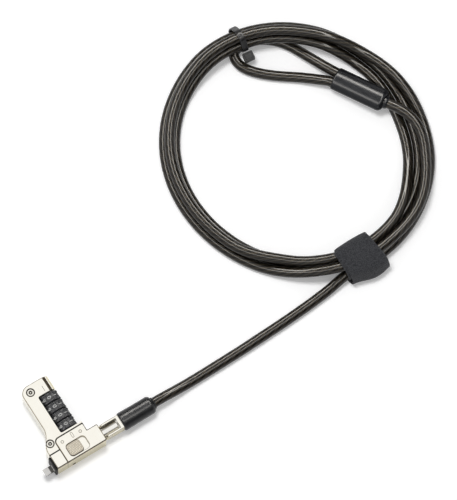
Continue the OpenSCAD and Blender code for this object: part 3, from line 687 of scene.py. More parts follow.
@dataclass
class Studio:
    """Camera, soft lights, pale floor, and the flags that polished surfaces mirror."""

    turn: float = math.radians(31.9)
    tilt: float = math.radians(15.0)
    target: Vector = field(default_factory=lambda: Vector((0.1348, 0.0254, 0.0128)))
    distance: float = 1.5
    frame_height: float = 0.28
    floor_size: float = 12.0
    ambient: float = 0.44
    glow: float = 0.20
    ring_away: float = 1.1
    ring_wide: float = 11.0
    ring_steps: int = 96
    ring: tuple[tuple[float, float, float], ...] = (
        (0.0, 21.0, 15.0), (40.0, 27.0, 21.0), (75.0, 29.0, 25.0), (90.0, 28.0, 25.0), (115.0, 28.0, 25.0),
        (150.0, 31.0, 23.0), (180.0, 36.0, 19.0), (225.0, 40.0, 10.0), (270.0, 38.0, 8.0),
        (310.0, 29.0, 10.0), (360.0, 21.0, 15.0),
    )
    cloth: tuple[Colour, Colour] = ((0.05, 0.040, 0.028), (0.07, 0.058, 0.043))
    pale_cloth: tuple[Colour, Colour] = ((0.16, 0.155, 0.14), (0.60, 0.59, 0.56))

    def __post_init__(self) -> None:
        """Works out the view's axes."""
        self.up = Vector((math.sin(self.turn), math.cos(self.turn), 0.0))
        self.right = Vector((math.cos(self.turn), -math.sin(self.turn), 0.0))
        self.back = AXIS_Z * math.cos(self.tilt) - self.up * math.sin(self.tilt)

    def build(self) -> None:
        """Sets the whole studio."""
        self.place_camera()
        self.light_world()
        self.lay_floor()
        self.hang_light("key_softbox", 9.0, -8.0, 1.5, (0.42, 0.42), 23.0, gloss=False)
        self.hang_light("front_strip", -72.0, 0.0, 1.2, (0.9, 0.06), 3.0, spread=False)
        self.bend_ring()
        self.hang_flag("front_flag", -81.0, 25.0, 1.3, (1.1, 0.78), self.cloth)
        self.hang_flag("side_flag", 14.0, 18.0, 1.3, (0.9, 0.95), self.cloth)
        self.hang_flag("back_flag", 78.0, 33.0, 1.45, (1.7, 1.30), self.pale_cloth)
        bpy.context.scene.view_settings.view_transform = "Standard"

    def place_camera(self) -> None:
        """Puts the camera at the viewing angle."""
        data = bpy.data.cameras.new("camera")
        data.type = "ORTHO"
        data.ortho_scale = self.frame_height
        data.clip_end = 30.0
        camera = in_scene("camera", data)
        place = self.target + self.back * self.distance
        camera.matrix_world = posed(place, self.right, self.back.cross(self.right), self.back)
        bpy.context.scene.camera = camera

    def light_world(self) -> None:
        """White where it is seen, and a plain soft fill as light."""
        world = bpy.data.worlds.new("studio_world")
        bpy.context.scene.world = world
        world.use_nodes = True
        nodes = Nodes(world.node_tree)
        shown = nodes.filled("ShaderNodeBackground", WHITE, 1.0)
        fill = nodes.filled("ShaderNodeBackground", WHITE, self.ambient)
        nodes.add("ShaderNodeOutputWorld", Surface=nodes.filled("ShaderNodeMixShader", nodes.seen(), fill, shown))

    def lay_floor(self) -> None:
        """Pale floor that keeps the shadows and reads as white elsewhere."""
        bm = bmesh.new()
        bmesh.ops.create_grid(bm, x_segments=1, y_segments=1, size=self.floor_size / 2)
        recipe = Recipe("floor_paper")
        tone = recipe.blend(recipe.noise(0.05, 2.0), (0.90, 0.90, 0.90), (0.92, 0.92, 0.92))
        paper = recipe.filled("ShaderNodeBsdfDiffuse", tone)
        glow = recipe.filled("ShaderNodeEmission", WHITE, recipe.maths("MULTIPLY", recipe.seen(), self.glow))
        floor = placed("floor", bm, recipe.cover(recipe.filled("ShaderNodeAddShader", paper, glow)))

    def bend_ring(self) -> None:
        """Bends a narrow light into a ring overhead, that only polished surfaces show as fine lines."""
        mirrored = AXIS_Z * math.cos(self.tilt) + self.up * math.sin(self.tilt)
        high = self.right.cross(mirrored) * -1.0
        rings, glow = [], []
        for k in range(self.ring_steps + 1):
            turn = 360.0 * k / self.ring_steps
            after = next(i for i, stop in enumerate(self.ring) if stop[0] >= turn) or 1
            start, end = self.ring[after - 1], self.ring[after]
            part = (turn - start[0]) / (end[0] - start[0])
            lean = start[1] + (end[1] - start[1]) * part
            glow.append(start[2] + (end[2] - start[2]) * part)
            out = self.right * math.cos(math.radians(turn)) + high * math.sin(math.radians(turn))
            tips = [math.radians(lean + edge * self.ring_wide) for edge in (-0.5, 0.5)]
            rings.append(
                [self.target + (mirrored * math.cos(t) + out * math.sin(t)) * self.ring_away for t in tips]
            )
        bm = skinned(rings, closed=False, capped=False)
        row = bm.verts.layers.int["row"]
        tone = bm.verts.layers.float.new("glow")
        for vert in bm.verts:
            vert[tone] = glow[vert[row]]
        recipe = Recipe("ring_tube")
        level = recipe.add("ShaderNodeAttribute", {"attribute_name": "glow"}).outputs["Fac"]
        shine = recipe.filled("ShaderNodeEmission", (1.0, 0.97, 0.92, 1.0), level)
        clear = recipe.filled("ShaderNodeBsdfTransparent")
        self.ring_light = placed(
            "ring_light", bm, recipe.cover(recipe.filled("ShaderNodeAddShader", shine, clear))
        )
        self.mirror_only(self.ring_light)

    def aim_ring(self, pieces: Iterable[bpy.types.Object]) -> None:
        """Lets the ring of light reach only the given dark pieces.

        Args:
            pieces: The pieces.
        """
        dark = bpy.data.collections.new("dark_gloss")
        for piece in pieces:
            dark.objects.link(piece)
        self.ring_light.light_linking.receiver_collection = dark

    def mirror_only(self, panel: bpy.types.Object) -> None:
        """Lets only polished surfaces show a panel.

        Args:
            panel: The panel.
        """
        panel.visible_camera = False
        panel.visible_diffuse = False
        panel.visible_shadow = False
        panel.visible_transmission = False

    def hang_flag(
        self, name: str, azimuth: float, elevation: float, away: float, size: tuple[float, float],
        tones: tuple[Colour, Colour],
    ) -> None:
        """Hangs a dark flag that only polished surfaces show, so that their edges read.

        Args:
            name: Name of the flag.
            azimuth: Direction round the object, in degrees from its X axis.
            elevation: Height of its middle over the floor, in degrees.
            away: Distance from the target.
            size: Its width and height.
            tones: Tones of its lower and its upper edge.
        """
        flat, up = math.radians(azimuth), math.radians(elevation)
        toward = Vector((math.cos(flat) * math.cos(up), math.sin(flat) * math.cos(up), math.sin(up)))
        across = Vector((-math.sin(flat), math.cos(flat), 0.0))
        rise = toward.cross(across)
        bm = bmesh.new()
        bmesh.ops.create_grid(bm, x_segments=1, y_segments=1, size=0.5)
        centre = self.target + toward * away
        for vert in bm.verts:
            vert.co = centre + across * (vert.co.x * size[0]) + rise * (vert.co.y * size[1])
        reach = abs(rise.z) * size[1] / 2
        recipe = Recipe(f"{name}_cloth")
        height = recipe.add("ShaderNodeSeparateXYZ", Vector=recipe.coords).outputs[2]
        cloth = recipe.blend(recipe.span(height, 0.0, 1.0, centre.z - reach, centre.z + reach), *tones)
        self.mirror_only(placed(name, bm, recipe.cover(recipe.filled("ShaderNodeEmission", cloth))))

    def hang_light(
        self, name: str, lean: float, aside: float, away: float, size: tuple[float, float], radiance: float,
        gloss: bool = True, spread: bool = True,
    ) -> None:
        """Hangs a soft box that looks at the object.

        Args:
            name: Name of the lamp.
            lean: Angle from straight up toward the view's top, in degrees.
            aside: Angle toward the view's right, in degrees.
            away: Distance from the target.
            size: Its width along the view's right, and its height.
            radiance: How bright its face is, where 1 is white.
            gloss: Whether polished surfaces mirror it.
            spread: Whether it lights dull surfaces.
        """
        data = bpy.data.lights.new(name, "AREA")
        data.shape = "RECTANGLE"
        data.size, data.size_y = size
        data.energy = radiance * math.pi * size[0] * size[1]
        lamp = in_scene(name, data)
        tip, turn = math.radians(lean), math.radians(aside)
        rise = AXIS_Z * math.cos(tip) + self.up * math.sin(tip)
        toward = rise * math.cos(turn) + self.right * math.sin(turn)
        across = self.right - toward * self.right.dot(toward)
        across.normalize()
        lamp.matrix_world = posed(self.target + toward * away, across, toward.cross(across), toward)
        lamp.visible_camera = False
        lamp.visible_glossy = gloss
        lamp.visible_diffuse = spread


@dataclass
class CableRoute:
    """Line of the cable: from the crimp round three turns, through the ferrule, round the eye and back."""

    radius: float = 0.0028
    lay: float = 0.0061
    coil: Vector = field(default_factory=lambda: Vector((0.1973, 0.0561, 0.0)))
    loop_radius: float = 0.0685
    loop_wave: float = 0.0035
    wave_at: float = -68.0
    start: float = 270.0
    total: float = 1136.0
    eye_lift: float = 0.0072
    strap_lift: float = 0.0015
    leg_shift: float = 0.0031
    hole_depth: float = 0.003
    ferrule_right: Vector = field(default_factory=lambda: Vector((0.2555, 0.052, 0.010)))
    ferrule_left: Vector = field(default_factory=lambda: Vector((0.239, 0.080, 0.0067)))
    step: float = 0.0013
    stride: int = 4
    first_side: float = 0.8
    sideways: tuple[tuple[float, float, float], ...] = (
        (0.2, 25, 60), (-1.0, 80, 150), (-0.5, 295, 325), (-0.5, 380, 410), (0.5, 430, 470), (0.25, 705, 732),
        (0.25, 744, 776), (0.5, 790, 830), (0.35, 1090, 1120), (-0.35, 1110, 1150),
    )
    layers: tuple[tuple[float, float, float], ...] = ((1.0, 68, 98), (-1.0, 388, 420), (1.0, 1030, 1062))
    lead_in: float = 0.0056
    pull: float = 0.014
    tail_points: int = 6
    lead: tuple[tuple[float, float, float], ...] = (
        (0.0409, -0.0262, 0.0064), (0.0480, -0.0262, 0.0064), (0.0550, -0.0262, 0.0064),
        (0.0600, -0.0262, 0.0061), (0.0670, -0.0262, 0.0047), (0.0750, -0.0261, 0.0033),
        (0.0840, -0.0260, 0.0028), (0.0970, -0.0258, 0.0028), (0.1110, -0.0255, 0.0028),
        (0.1240, -0.0250, 0.0028), (0.1380, -0.0244, 0.0028), (0.1510, -0.0236, 0.0028),
        (0.1620, -0.0227, 0.0028), (0.1720, -0.0216, 0.0031), (0.1810, -0.0201, 0.0039),
    )
    eye: tuple[tuple[float, float, float], ...] = (
        (0.2377, 0.0892, 0.0058), (0.2347, 0.0957, 0.0047), (0.2318, 0.1020, 0.0037),
        (0.2290, 0.1078, 0.0031), (0.2260, 0.1126, 0.0028), (0.2223, 0.1168, 0.0029),
        (0.2179, 0.1202, 0.0033), (0.2130, 0.1228, 0.0038), (0.2090, 0.1240, 0.0041),
        (0.2052, 0.1244, 0.0041), (0.2016, 0.1239, 0.0041), (0.1990, 0.1226, 0.0038),
        (0.1978, 0.1198, 0.0033), (0.1983, 0.1152, 0.0028), (0.2006, 0.1107, 0.0028),
        (0.2046, 0.1060, 0.0028), (0.2095, 0.1015, 0.0028), (0.2142, 0.0978, 0.0028),
        (0.2190, 0.0943, 0.0029), (0.2236, 0.0908, 0.0035), (0.2280, 0.0870, 0.0045),
        (0.2322, 0.0832, 0.0055),
    )
    eye_bend: Vector = field(default_factory=lambda: Vector((0.2052, 0.1244, 0.0041)))

    def __post_init__(self) -> None:
        """Works out the ferrule's direction."""
        self.along = (self.ferrule_left - self.ferrule_right).normalized()
        self.across = Vector((-self.along.y, self.along.x, 0.0)).normalized()

    def side(self, w: float) -> float:
        """Sideways place of the cable in its bundle at w degrees of winding."""
        return self.lay * sum((step * ramp(w, start, end) for step, start, end in self.sideways), self.first_side)

    def layer(self, w: float) -> float:
        """Layer of the cable in its bundle at w degrees of winding."""
        return sum(step * ramp(w, start, end) for step, start, end in self.layers)

    def rise(self, a: float) -> float:
        """Rise of the bundle over the eye and over the strap at a degrees round the coil.

        Args:
            a: Angle round the coil in degrees.

        Returns:
            The rise.
        """
        over_eye = ramp(a, 18, 48) - ramp(a, 97, 127)
        over_strap = ramp(a, 236, 256) - ramp(a, 282, 302)
        return self.eye_lift * over_eye + self.strap_lift * over_strap

    def wound(self, w: float) -> Vector:
        """Point of the coil at w degrees of winding.

        Args:
            w: Degrees of winding since the start.

        Returns:
            The point.
        """
        a = (self.start + w) % 360.0
        r = self.loop_radius + self.loop_wave * math.cos(math.radians(2 * (a - self.wave_at))) + self.side(w)
        turn = math.radians(a)
        height = self.radius + self.lay * self.layer(w) + self.rise(a)
        return self.coil + Vector((r * math.cos(turn), r * math.sin(turn), height))

    def spots(self, angle: float, winding: Sequence[float], width: float) -> list[Vector]:
        """Where the turns cross a plane through the coil's axis, as distance from the axis and height.

        Args:
            angle: Angle of the plane in degrees.
            winding: Whole turns of winding that are counted.
            width: Angle in degrees that is looked at on both sides.

        Returns:
            The places of the turns.
        """
        found = []
        for whole in winding:
            for shift in (-width, 0.0, width):
                point = self.wound(whole + angle - self.start + shift) - self.coil
                found.append(Vector((math.hypot(point.x, point.y), point.z)))
        return found

    def line(self) -> list[Vector]:
        """Evenly spaced points of the whole cable.

        Returns:
            The points, from the barrel to the end of the eye.
        """
        gap = Vector((self.lead_in, 0.0, 0.0))
        first = self.wound(0.0) - gap
        lead = [Vector(p) for p in self.lead] + [first - gap, first]
        coil = [self.wound(float(w)) for w in range(0, int(self.total) + 1, self.stride)]
        heading = (self.wound(self.total) - self.wound(self.total - self.stride)).normalized() * self.pull
        mouth = self.ferrule_right - self.along * self.lead_in
        tail = [
            bow(coil[-1], mouth, heading, self.along * self.pull, t / self.tail_points)
            for t in range(1, self.tail_points + 1)
        ]
        deep = self.along * (self.hole_depth - 0.0005)
        clear = self.along * 0.002
        out = self.ferrule_left - self.across * self.leg_shift
        back = self.ferrule_left + self.across * self.leg_shift
        inside = [self.ferrule_right + deep, out - deep - self.along * 0.009, out - deep, out + clear]
        eye = [Vector(p) for p in self.eye]
        return evenly(smooth_line(lead + coil + tail + inside + eye + [back + clear, back - deep]), self.step)


def bow(start: Vector, end: Vector, pull_start: Vector, pull_end: Vector, t: float) -> Vector:
    """Point at t on a cubic curve, with its pull away from the start and its pull into the end."""
    s = 1.0 - t
    return start * s**3 + (start + pull_start) * 3 * t * s * s + (end - pull_end) * 3 * t * t * s + end * t**3


def smooth_line(points: Sequence[Vector], parts: int = 6) -> list[Vector]:
    """Lays a smooth curve through points.

    Args:
        points: The points.
        parts: Number of new points for each stretch.

    Returns:
        Points of the curve.
    """
    made = []
    last = len(points) - 1
    for i in range(last):
        p, q = points[i], points[i + 1]
        gap = (q - p).length
        before, after = points[max(i - 1, 0)], points[min(i + 2, last)]
        lean_p = (q - before) * (gap / max(gap + (p - before).length, 1e-9))
        lean_q = (after - p) * (gap / max((after - q).length + gap, 1e-9))
        made += [bow(p, q, lean_p / 3, lean_q / 3, k / parts) for k in range(parts)]
    return made + [points[last]]


def evenly(points: Sequence[Vector], step: float) -> list[Vector]:
    """Spaces points evenly along a line.

    Args:
        points: Points of the line.
        step: Distance between two new points.

    Returns:
        The new points, with the line's own ends.
    """
    lengths = [0.0]
    for p, q in zip(points, points[1:]):
        lengths.append(lengths[-1] + (q - p).length)
    count = max(2, round(lengths[-1] / step))
    made, i = [], 0
    for k in range(count + 1):
        want = lengths[-1] * k / count
        while i < len(points) - 2 and lengths[i + 1] < want:
            i += 1
        part = (want - lengths[i]) / max(lengths[i + 1] - lengths[i], 1e-9)
        made.append(points[i].lerp(points[i + 1], min(part, 1.0)))
    return made


@dataclass
class SteelCable(SubAssembly):
    """Coated steel cable as one tube."""

    route: CableRoute = field(default_factory=CableRoute)
    diameter: float = 0.0059
    sides: int = 24

    def build(self) -> None:
        line = self.route.line()
        rings = []
        for i, point in enumerate(line):
            ahead = (line[min(i + 1, len(line) - 1)] - line[max(i - 1, 0)]).normalized()
            side = AXIS_Z.cross(ahead).normalized()
            top = ahead.cross(side)
            turns = [math.tau * k / self.sides for k in range(self.sides)]
            rings.append(
                [point + (side * math.cos(t) + top * math.sin(t)) * (self.diameter / 2) for t in turns]
            )
        bm = skinned(rings)
        self.map_lay(bm, len(line))
        cable = self.keep(
            bm, "steel_cable", [CABLE_COAT], "cable_coat", "cable_lead", "cable_coil", "cable_eye",
            sharp=60.0, even=False,
        )

    def map_lay(self, bm: BMesh, rows: int) -> None:
        """Writes the map that the strands follow: metres along, and turns around.

        Args:
            bm: The tube.
            rows: Number of its rings.
        """
        lay = bm.loops.layers.uv.new(Coords.LAY.value)
        row = bm.verts.layers.int["row"]
        side = bm.verts.layers.int["side"]
        pitch = self.route.step
        for face in bm.faces:
            wraps = any(v[side] == self.sides - 1 for v in face.verts)
            for loop in face.loops:
                k = loop.vert[side]
                around = 1.0 if wraps and k == 0 else k / self.sides
                loop[lay].uv = (loop.vert[row] * pitch, around)


@dataclass
class LockHead(SubAssembly):
    """Combination head: covers, nose, screws and the works inside."""

    home: ClassVar[Body] = Body.HEAD
    cast_sharp: ClassVar[float] = 32.0
    height: float = 0.0128
    arm_top: float = 0.0181
    ledge: float = 0.0112
    block_bottom: float = -0.0318
    block_right: float = 0.019
    latch_top: float = -0.0164
    nose_left: float = -0.0133
    nose_middle: tuple[float, float] = (-0.0288, 0.0064)
    screws: tuple[tuple[float, float], ...] = ((-0.003, 0.0138), (-0.0094, -0.0172))
    sink_radius: float = 0.0026
    recess_radius: float = 0.00125
    edge: float = 0.00048
    hairline: float = 0.00012
    fade: float = 0.0009
    seam_y: float = -0.0227
    mark_x: float = 0.0044
    pill_x: float = 0.0038
    pad_squeeze: float = 0.64
    hole: tuple[float, float, float] = (-0.0024, 0.0024, 0.00075)
    opening: tuple[tuple[float, float], ...] = ((-0.00095, 0.00935), (-0.00095, -0.01515))
    opening_round: float = 0.0011
    window: tuple[float, ...] = (-0.0032, 0.0095, -0.03045, -0.02235)

    def build(self) -> None:
        """Builds the covers and the nose, and dresses what stays as it is."""
        self.build_arm_cover()
        self.build_latch_cover()
        self.build_base_shell()
        self.build_nose_block()
        self.build_face_pad()
        self.build_hook()
        self.build_screws()
        self.dress(SPRING_STEEL, "detent_comb", "hook_rivets")

    def on_top(self, edge: BMEdge) -> bool:
        """Whether an edge lies in the head's top plane."""
        return all(abs(v.co.z - self.height) < NEAR for v in edge.verts)

    def walls(self, edge: BMEdge) -> list[Vector]:
        """Directions of the upright faces of an edge."""
        return [f.normal for f in edge.link_faces if upright(f.normal)]

    def near_screw(self, place: Vector, reach: float) -> bool:
        """Whether a place is nearer than this to the middle of a screw."""
        return any(math.hypot(place.x - x, place.y - y) < reach for x, y in self.screws)

    def front_walls(self, bm: BMesh) -> list[BMFace]:
        """Faces of the head's front wall, below the rounding of its top edge."""
        return faces(bm, lambda n, p: n.y < -0.3 and upright(n) and p.y < self.block_bottom + 0.0009)

    def tone_front(self, bm: BMesh, rounded: Sequence[BMFace], tones: Sequence[Finish]) -> None:
        """Paints shade on the front wall: a darker tone, with a darker strip under the rounded top edge that fades
        into it.

        Args:
            bm: The cover.
            rounded: Faces of the rounded edge, which keep their finish.
            tones: The cover's finishes.
        """
        brink = self.height - self.edge - self.fade
        score(bm, AXIS_Z * brink, AXIS_Z)
        for face in self.front_walls(bm):
            if face not in rounded:
                high = face.calc_center_median().z > brink
                paint([face], tones, NICKEL_SHADE_FADE if high else NICKEL_SHADED_WALL)

    def build_arm_cover(self) -> None:
        """Cover of the arm and the barrel: soft outer edges and round opening corners, with painted shade on the
        outer edges, seams, sinks, left flank, barrel side and index mark.
        """
        bm = merged_copy("arm_cover")
        tones = [NICKEL, NICKEL_SHADE_EDGE, NICKEL_SHADE_MARK, NICKEL_SHADE_FADE, NICKEL_SHADED_FLANK, NICKEL_SHADED_WALL]
        sink = self.sink_radius + 0.0002
        score(bm, AXIS_Z * self.ledge, AXIS_Z)

        def corner(edge: BMEdge) -> bool:
            """Whether an edge stands in a corner of the wheels' opening.

            Args:
                edge: The edge.

            Returns:
                True if it does.
            """
            spot = middle(edge)
            return all(v.co.z > self.ledge - NEAR for v in edge.verts) and not self.on_top(edge) and any(
                math.hypot(spot.x - x, spot.y - y) < NEAR for x, y in self.opening
            )

        def outer(edge: BMEdge) -> bool:
            """Whether an edge is on the outside of the arm or the barrel.

            Args:
                edge: The edge.

            Returns:
                True if it is.
            """
            spot = middle(edge)
            if self.near_screw(spot, sink):
                return False
            if spot.y > self.arm_top - NEAR and spot.z > 0.0036:
                return True
            return self.on_top(edge) and any(
                n.x < -0.3 or (n.y > 0.3 and spot.y > 0.0128) for n in self.walls(edge)
            )

        def seam(edge: BMEdge) -> bool:
            """Whether an edge runs along the latch or the nose.

            Args:
                edge: The edge.

            Returns:
                True if it does.
            """
            spot = middle(edge)
            in_reach = spot.y < self.latch_top + 0.0003 and spot.x > -0.0068 or spot.y < self.seam_y + NEAR
            return self.on_top(edge) and in_reach and not self.near_screw(spot, sink) and any(
                n.y < -0.3 or n.x > 0.3 for n in self.walls(edge)
            )

        def gap(n: Vector, p: Vector) -> bool:
            """Whether a face lines a seam.

            Args:
                n: Normal of the face.
                p: Its middle.

            Returns:
                True if it does.
            """
            return abs(p.y - self.seam_y) < NEAR or abs(n.z) < 0.3 and p.y < -0.0161 and (
                p.x > -0.0068 and n.y < -0.1 or n.x > 0.5 and p.x < -0.0064
            )

        def mark(n: Vector, p: Vector) -> bool:
            """Whether a face is in the mark beside the first wheel."""
            return abs(p.x - self.mark_x) < 0.0002 and 0.0103 < p.y < 0.0138 and 0.0120 < p.z < 0.01278

        soften(bm, self.opening_round, 5, corner, clamp=False, hollow=True)
        rounded = soften(bm, self.edge * 0.8, 3, outer, clamp=False)
        # Painted shade on the rounded outer edges.
        paint(rounded, tones, NICKEL_SHADE_FADE)
        # Painted shade along the seams to the latch and the nose.
        paint(soften(bm, self.hairline, 1, seam, clamp=False), tones, NICKEL_SHADE_EDGE)
        # Painted shade: the left flank is toned down.
        flank = [f for f in faces(bm, lambda n, p: n.x < -0.3 and upright(n)) if f not in rounded]
        paint(flank, tones, NICKEL_SHADED_FLANK)
        # Painted shade: the barrel's far side takes a shaded tan.
        paint(faces(bm, lambda n, p: n.x > 0.42 and p.x > 0.009 and p.y > 0.009), tones, NICKEL_SHADED_WALL)
        # Painted shade in the index mark.
        paint(faces(bm, mark), tones, NICKEL_SHADE_MARK)
        # Painted shade on the faces that line the seams.
        paint(faces(bm, gap), tones, NICKEL_SHADE_EDGE)
        # Painted shade in the screw sinks.
        sunk = faces(bm, lambda n, p: self.near_screw(p, self.sink_radius) and p.z < self.height - 0.0001)
        paint(sunk, tones, NICKEL_SHADE_EDGE)
        self.keep(bm, "arm_cover_cast", tones, "nickel", "arm_cover", sharp=self.cast_sharp)

    def build_latch_cover(self) -> None:
        """Cover of the latch block: rounded edges, marks and the thumb window, with painted shade on the edges, the
        window's rim and walls, the front wall and the raised marks.
        """
        bm = merged_copy("latch_cover")
        tones = [NICKEL, NICKEL_SHADE_EDGE, NICKEL_SHADE_MARK, NICKEL_SHADE_FADE, NICKEL_SHADED_WALL]
        left, right, low, high = self.window

        def in_window(place: Vector) -> bool:
            """Whether a place is in the thumb window."""
            return left < place.x < right and low < place.y < high

        def dark(normal: Vector, spot: Vector) -> bool:
            """Whether a rounded edge gets the darkest painted shade."""
            flat = normal.xy.normalized()
            return flat.y < -0.3 or flat.y > 0.45 or flat.x > 0.3 and spot.x < self.block_right - 0.001

        # Painted shade on the thumb window's inner walls.
        paint(faces(bm, lambda n, p: abs(n.z) < 0.3 and in_window(p) and p.z > 0.0115), tones, NICKEL_SHADE_MARK)
        rounded = soften(
            bm, self.edge, 2,
            lambda e: self.on_top(e) and bool(self.walls(e)) and not in_window(middle(e)), clamp=False,
        )
        # Painted shade on the window's rounded rim.
        rim = soften(bm, 0.00022, 1, lambda e: self.on_top(e) and in_window(middle(e)), clamp=False)
        paint(rim, tones, NICKEL_SHADE_FADE)
        # Painted shade on the rounded outer edges, darkest where they face front, back and the step.
        for face in rounded:
            paint([face], tones, NICKEL_SHADE_EDGE if dark(face.normal, face.calc_center_median()) else NICKEL_SHADE_FADE)
        self.tone_front(bm, rounded, tones)
        # Painted shade on the raised marks and round the pills, standing in for the shade of their relief.
        raised = faces(bm, lambda n, p: n.z > 0.9 and p.z > self.height + 1e-4)
        pills = [f for f in raised if abs(f.calc_center_median().x - self.pill_x) < 0.0005]
        paint([f for f in raised if f not in pills], tones, NICKEL_SHADE_MARK)
        border = bmesh.ops.inset_region(bm, faces=pills, thickness=0.00028, depth=0.0)["faces"]
        paint(border, tones, NICKEL_SHADE_MARK)
        self.keep(bm, "latch_cover_cast", tones, "nickel", "latch_cover", sharp=self.cast_sharp)

    def build_base_shell(self) -> None:
        """Base shell with a softened lower rim and a countersunk reset hole, with painted shade in the hole, on its
        low top faces under the covers and on its front and left walls.
        """
        bm = merged_copy("base_shell")
        tones = [NICKEL, RECESS_SHADE, NICKEL_SHADED_WALL, NICKEL_SHADED_FLANK]
        x, z, r = self.hole

        def at_hole(place: Vector) -> bool:
            """Whether a place is in the reset hole."""
            return place.y < self.block_bottom + 0.003 and math.hypot(place.x - x, place.z - z) < r + 0.00005

        def mouth(edge: BMEdge) -> bool:
            """Whether an edge is the hole's outer rim."""
            return at_hole(middle(edge)) and all(v.co.y < self.block_bottom + NEAR for v in edge.verts)

        # Painted shade on the low top faces under the covers and inside the reset hole.
        dark = faces(bm, lambda n, p: n.z > 0.9 and p.z < 0.0035 or abs(n.y) < 0.7 and at_hole(p))
        paint(dark, tones, RECESS_SHADE)
        # Painted shade on the front and left walls.
        paint([f for f in self.front_walls(bm) if f not in dark], tones, NICKEL_SHADED_WALL)
        paint(faces(bm, lambda n, p: n.x < -0.3 and upright(n)), tones, NICKEL_SHADED_FLANK)
        # Painted shade on the hole's rounded mouth.
        paint(soften(bm, 0.0004, 2, mouth, clamp=False), tones, RECESS_SHADE)
        soften(bm, 0.0003, 2, lambda e: all(v.co.z < NEAR for v in e.verts) and bool(self.walls(e)))
        self.keep(bm, "base_shell_cast", tones, "nickel", "base_shell", sharp=self.cast_sharp)

    def build_nose_block(self) -> None:
        """Block that holds the nose, with painted shade on its rounded front and seam edges, its front wall and its
        back and right walls.
        """
        bm = merged_copy("nose_block")
        tones = [NICKEL, NICKEL_SHADE_EDGE, NICKEL_SHADE_MARK, NICKEL_SHADE_FADE, NICKEL_SHADED_WALL]
        rounded = soften(
            bm, self.edge, 2,
            lambda e: self.on_top(e) and any(n.y < -0.1 or n.x < -0.9 for n in self.walls(e)), clamp=False,
        )
        # Painted shade on the rounded edges, darkest along the front.
        for face in rounded:
            front = face.normal.xy.normalized().y < -0.3
            paint([face], tones, NICKEL_SHADE_EDGE if front else NICKEL_SHADE_MARK)
        # Painted shade along the seams.
        seams = soften(bm, self.hairline, 1, lambda e: self.on_top(e) and bool(self.walls(e)))
        paint(seams, tones, NICKEL_SHADE_EDGE)
        self.tone_front(bm, rounded, tones)
        # Painted shade on the walls facing back and right, beside the covers.
        paint(faces(bm, lambda n, p: upright(n) and (n.y > 0.5 or n.x > 0.5)), tones, NICKEL_SHADE_EDGE)
        self.keep(bm, "nose_block_cast", tones, "nickel", "nose_block", sharp=self.cast_sharp)

    def build_face_pad(self) -> None:
        """Rubber pad with full round edges."""
        bm = merged_copy("face_pad")
        y, z = self.nose_middle
        for vert in bm.verts:
            vert.co.x = self.nose_left + (vert.co.x - self.nose_left) * self.pad_squeeze
        soften(bm, 0.00045, 3, lambda e: abs(middle(e).y - y) > 0.0026 or abs(middle(e).z - z) > 0.0022)
        self.keep(bm, "face_pad_rubber", [RUBBER], "rubber", "face_pad")

    def build_hook(self) -> None:
        """Fixed hook of the nose, with broken edges and painted shade on its low upper faces and its front face."""
        bm = merged_copy("nose_hook")
        tones = [STEEL, PIN_SLIT_SHADE]
        # Painted shade on the low upper faces and the front face.
        paint(faces(bm, lambda n, p: n.z > 0.9 and p.z < 0.0078 or n.y < -0.9), tones, PIN_SLIT_SHADE)
        soften(bm, 0.00018, 2, lambda e: middle(e).x < -0.0135)
        self.keep(bm, "nose_hook_steel", tones, "steel", "nose_hook", sharp=self.cast_sharp)

    def build_screws(self) -> None:
        """Pin-in-hexagon screws: bevelled heads, with painted shade in the recesses."""
        bm = merged_copy("cover_screws")
        tones = [SCREW_HEAD, RECESS_SHADE]

        def rim(edge: BMEdge) -> bool:
            """Whether an edge is a head's outer one.

            Args:
                edge: The edge.

            Returns:
                True if it is.
            """
            return all(v.co.z > self.height - 0.0003 for v in edge.verts) and not self.near_screw(
                middle(edge), self.recess_radius + 0.0004
            )

        def sunk(n: Vector, p: Vector) -> bool:
            """Whether a face is in a recess, beside its pin."""
            pin = n.z > 0.9 and p.z > 0.01215
            return self.near_screw(p, self.recess_radius) and 0.0117 < p.z < self.height - 0.00025 and not pin

        soften(bm, 0.0002, 2, rim, 50.0)
        # Painted shade in the recesses, round the pins.
        paint(faces(bm, sunk), tones, RECESS_SHADE)
        self.keep(bm, "security_screws", tones, "screw", "cover_screws", sharp=self.cast_sharp)


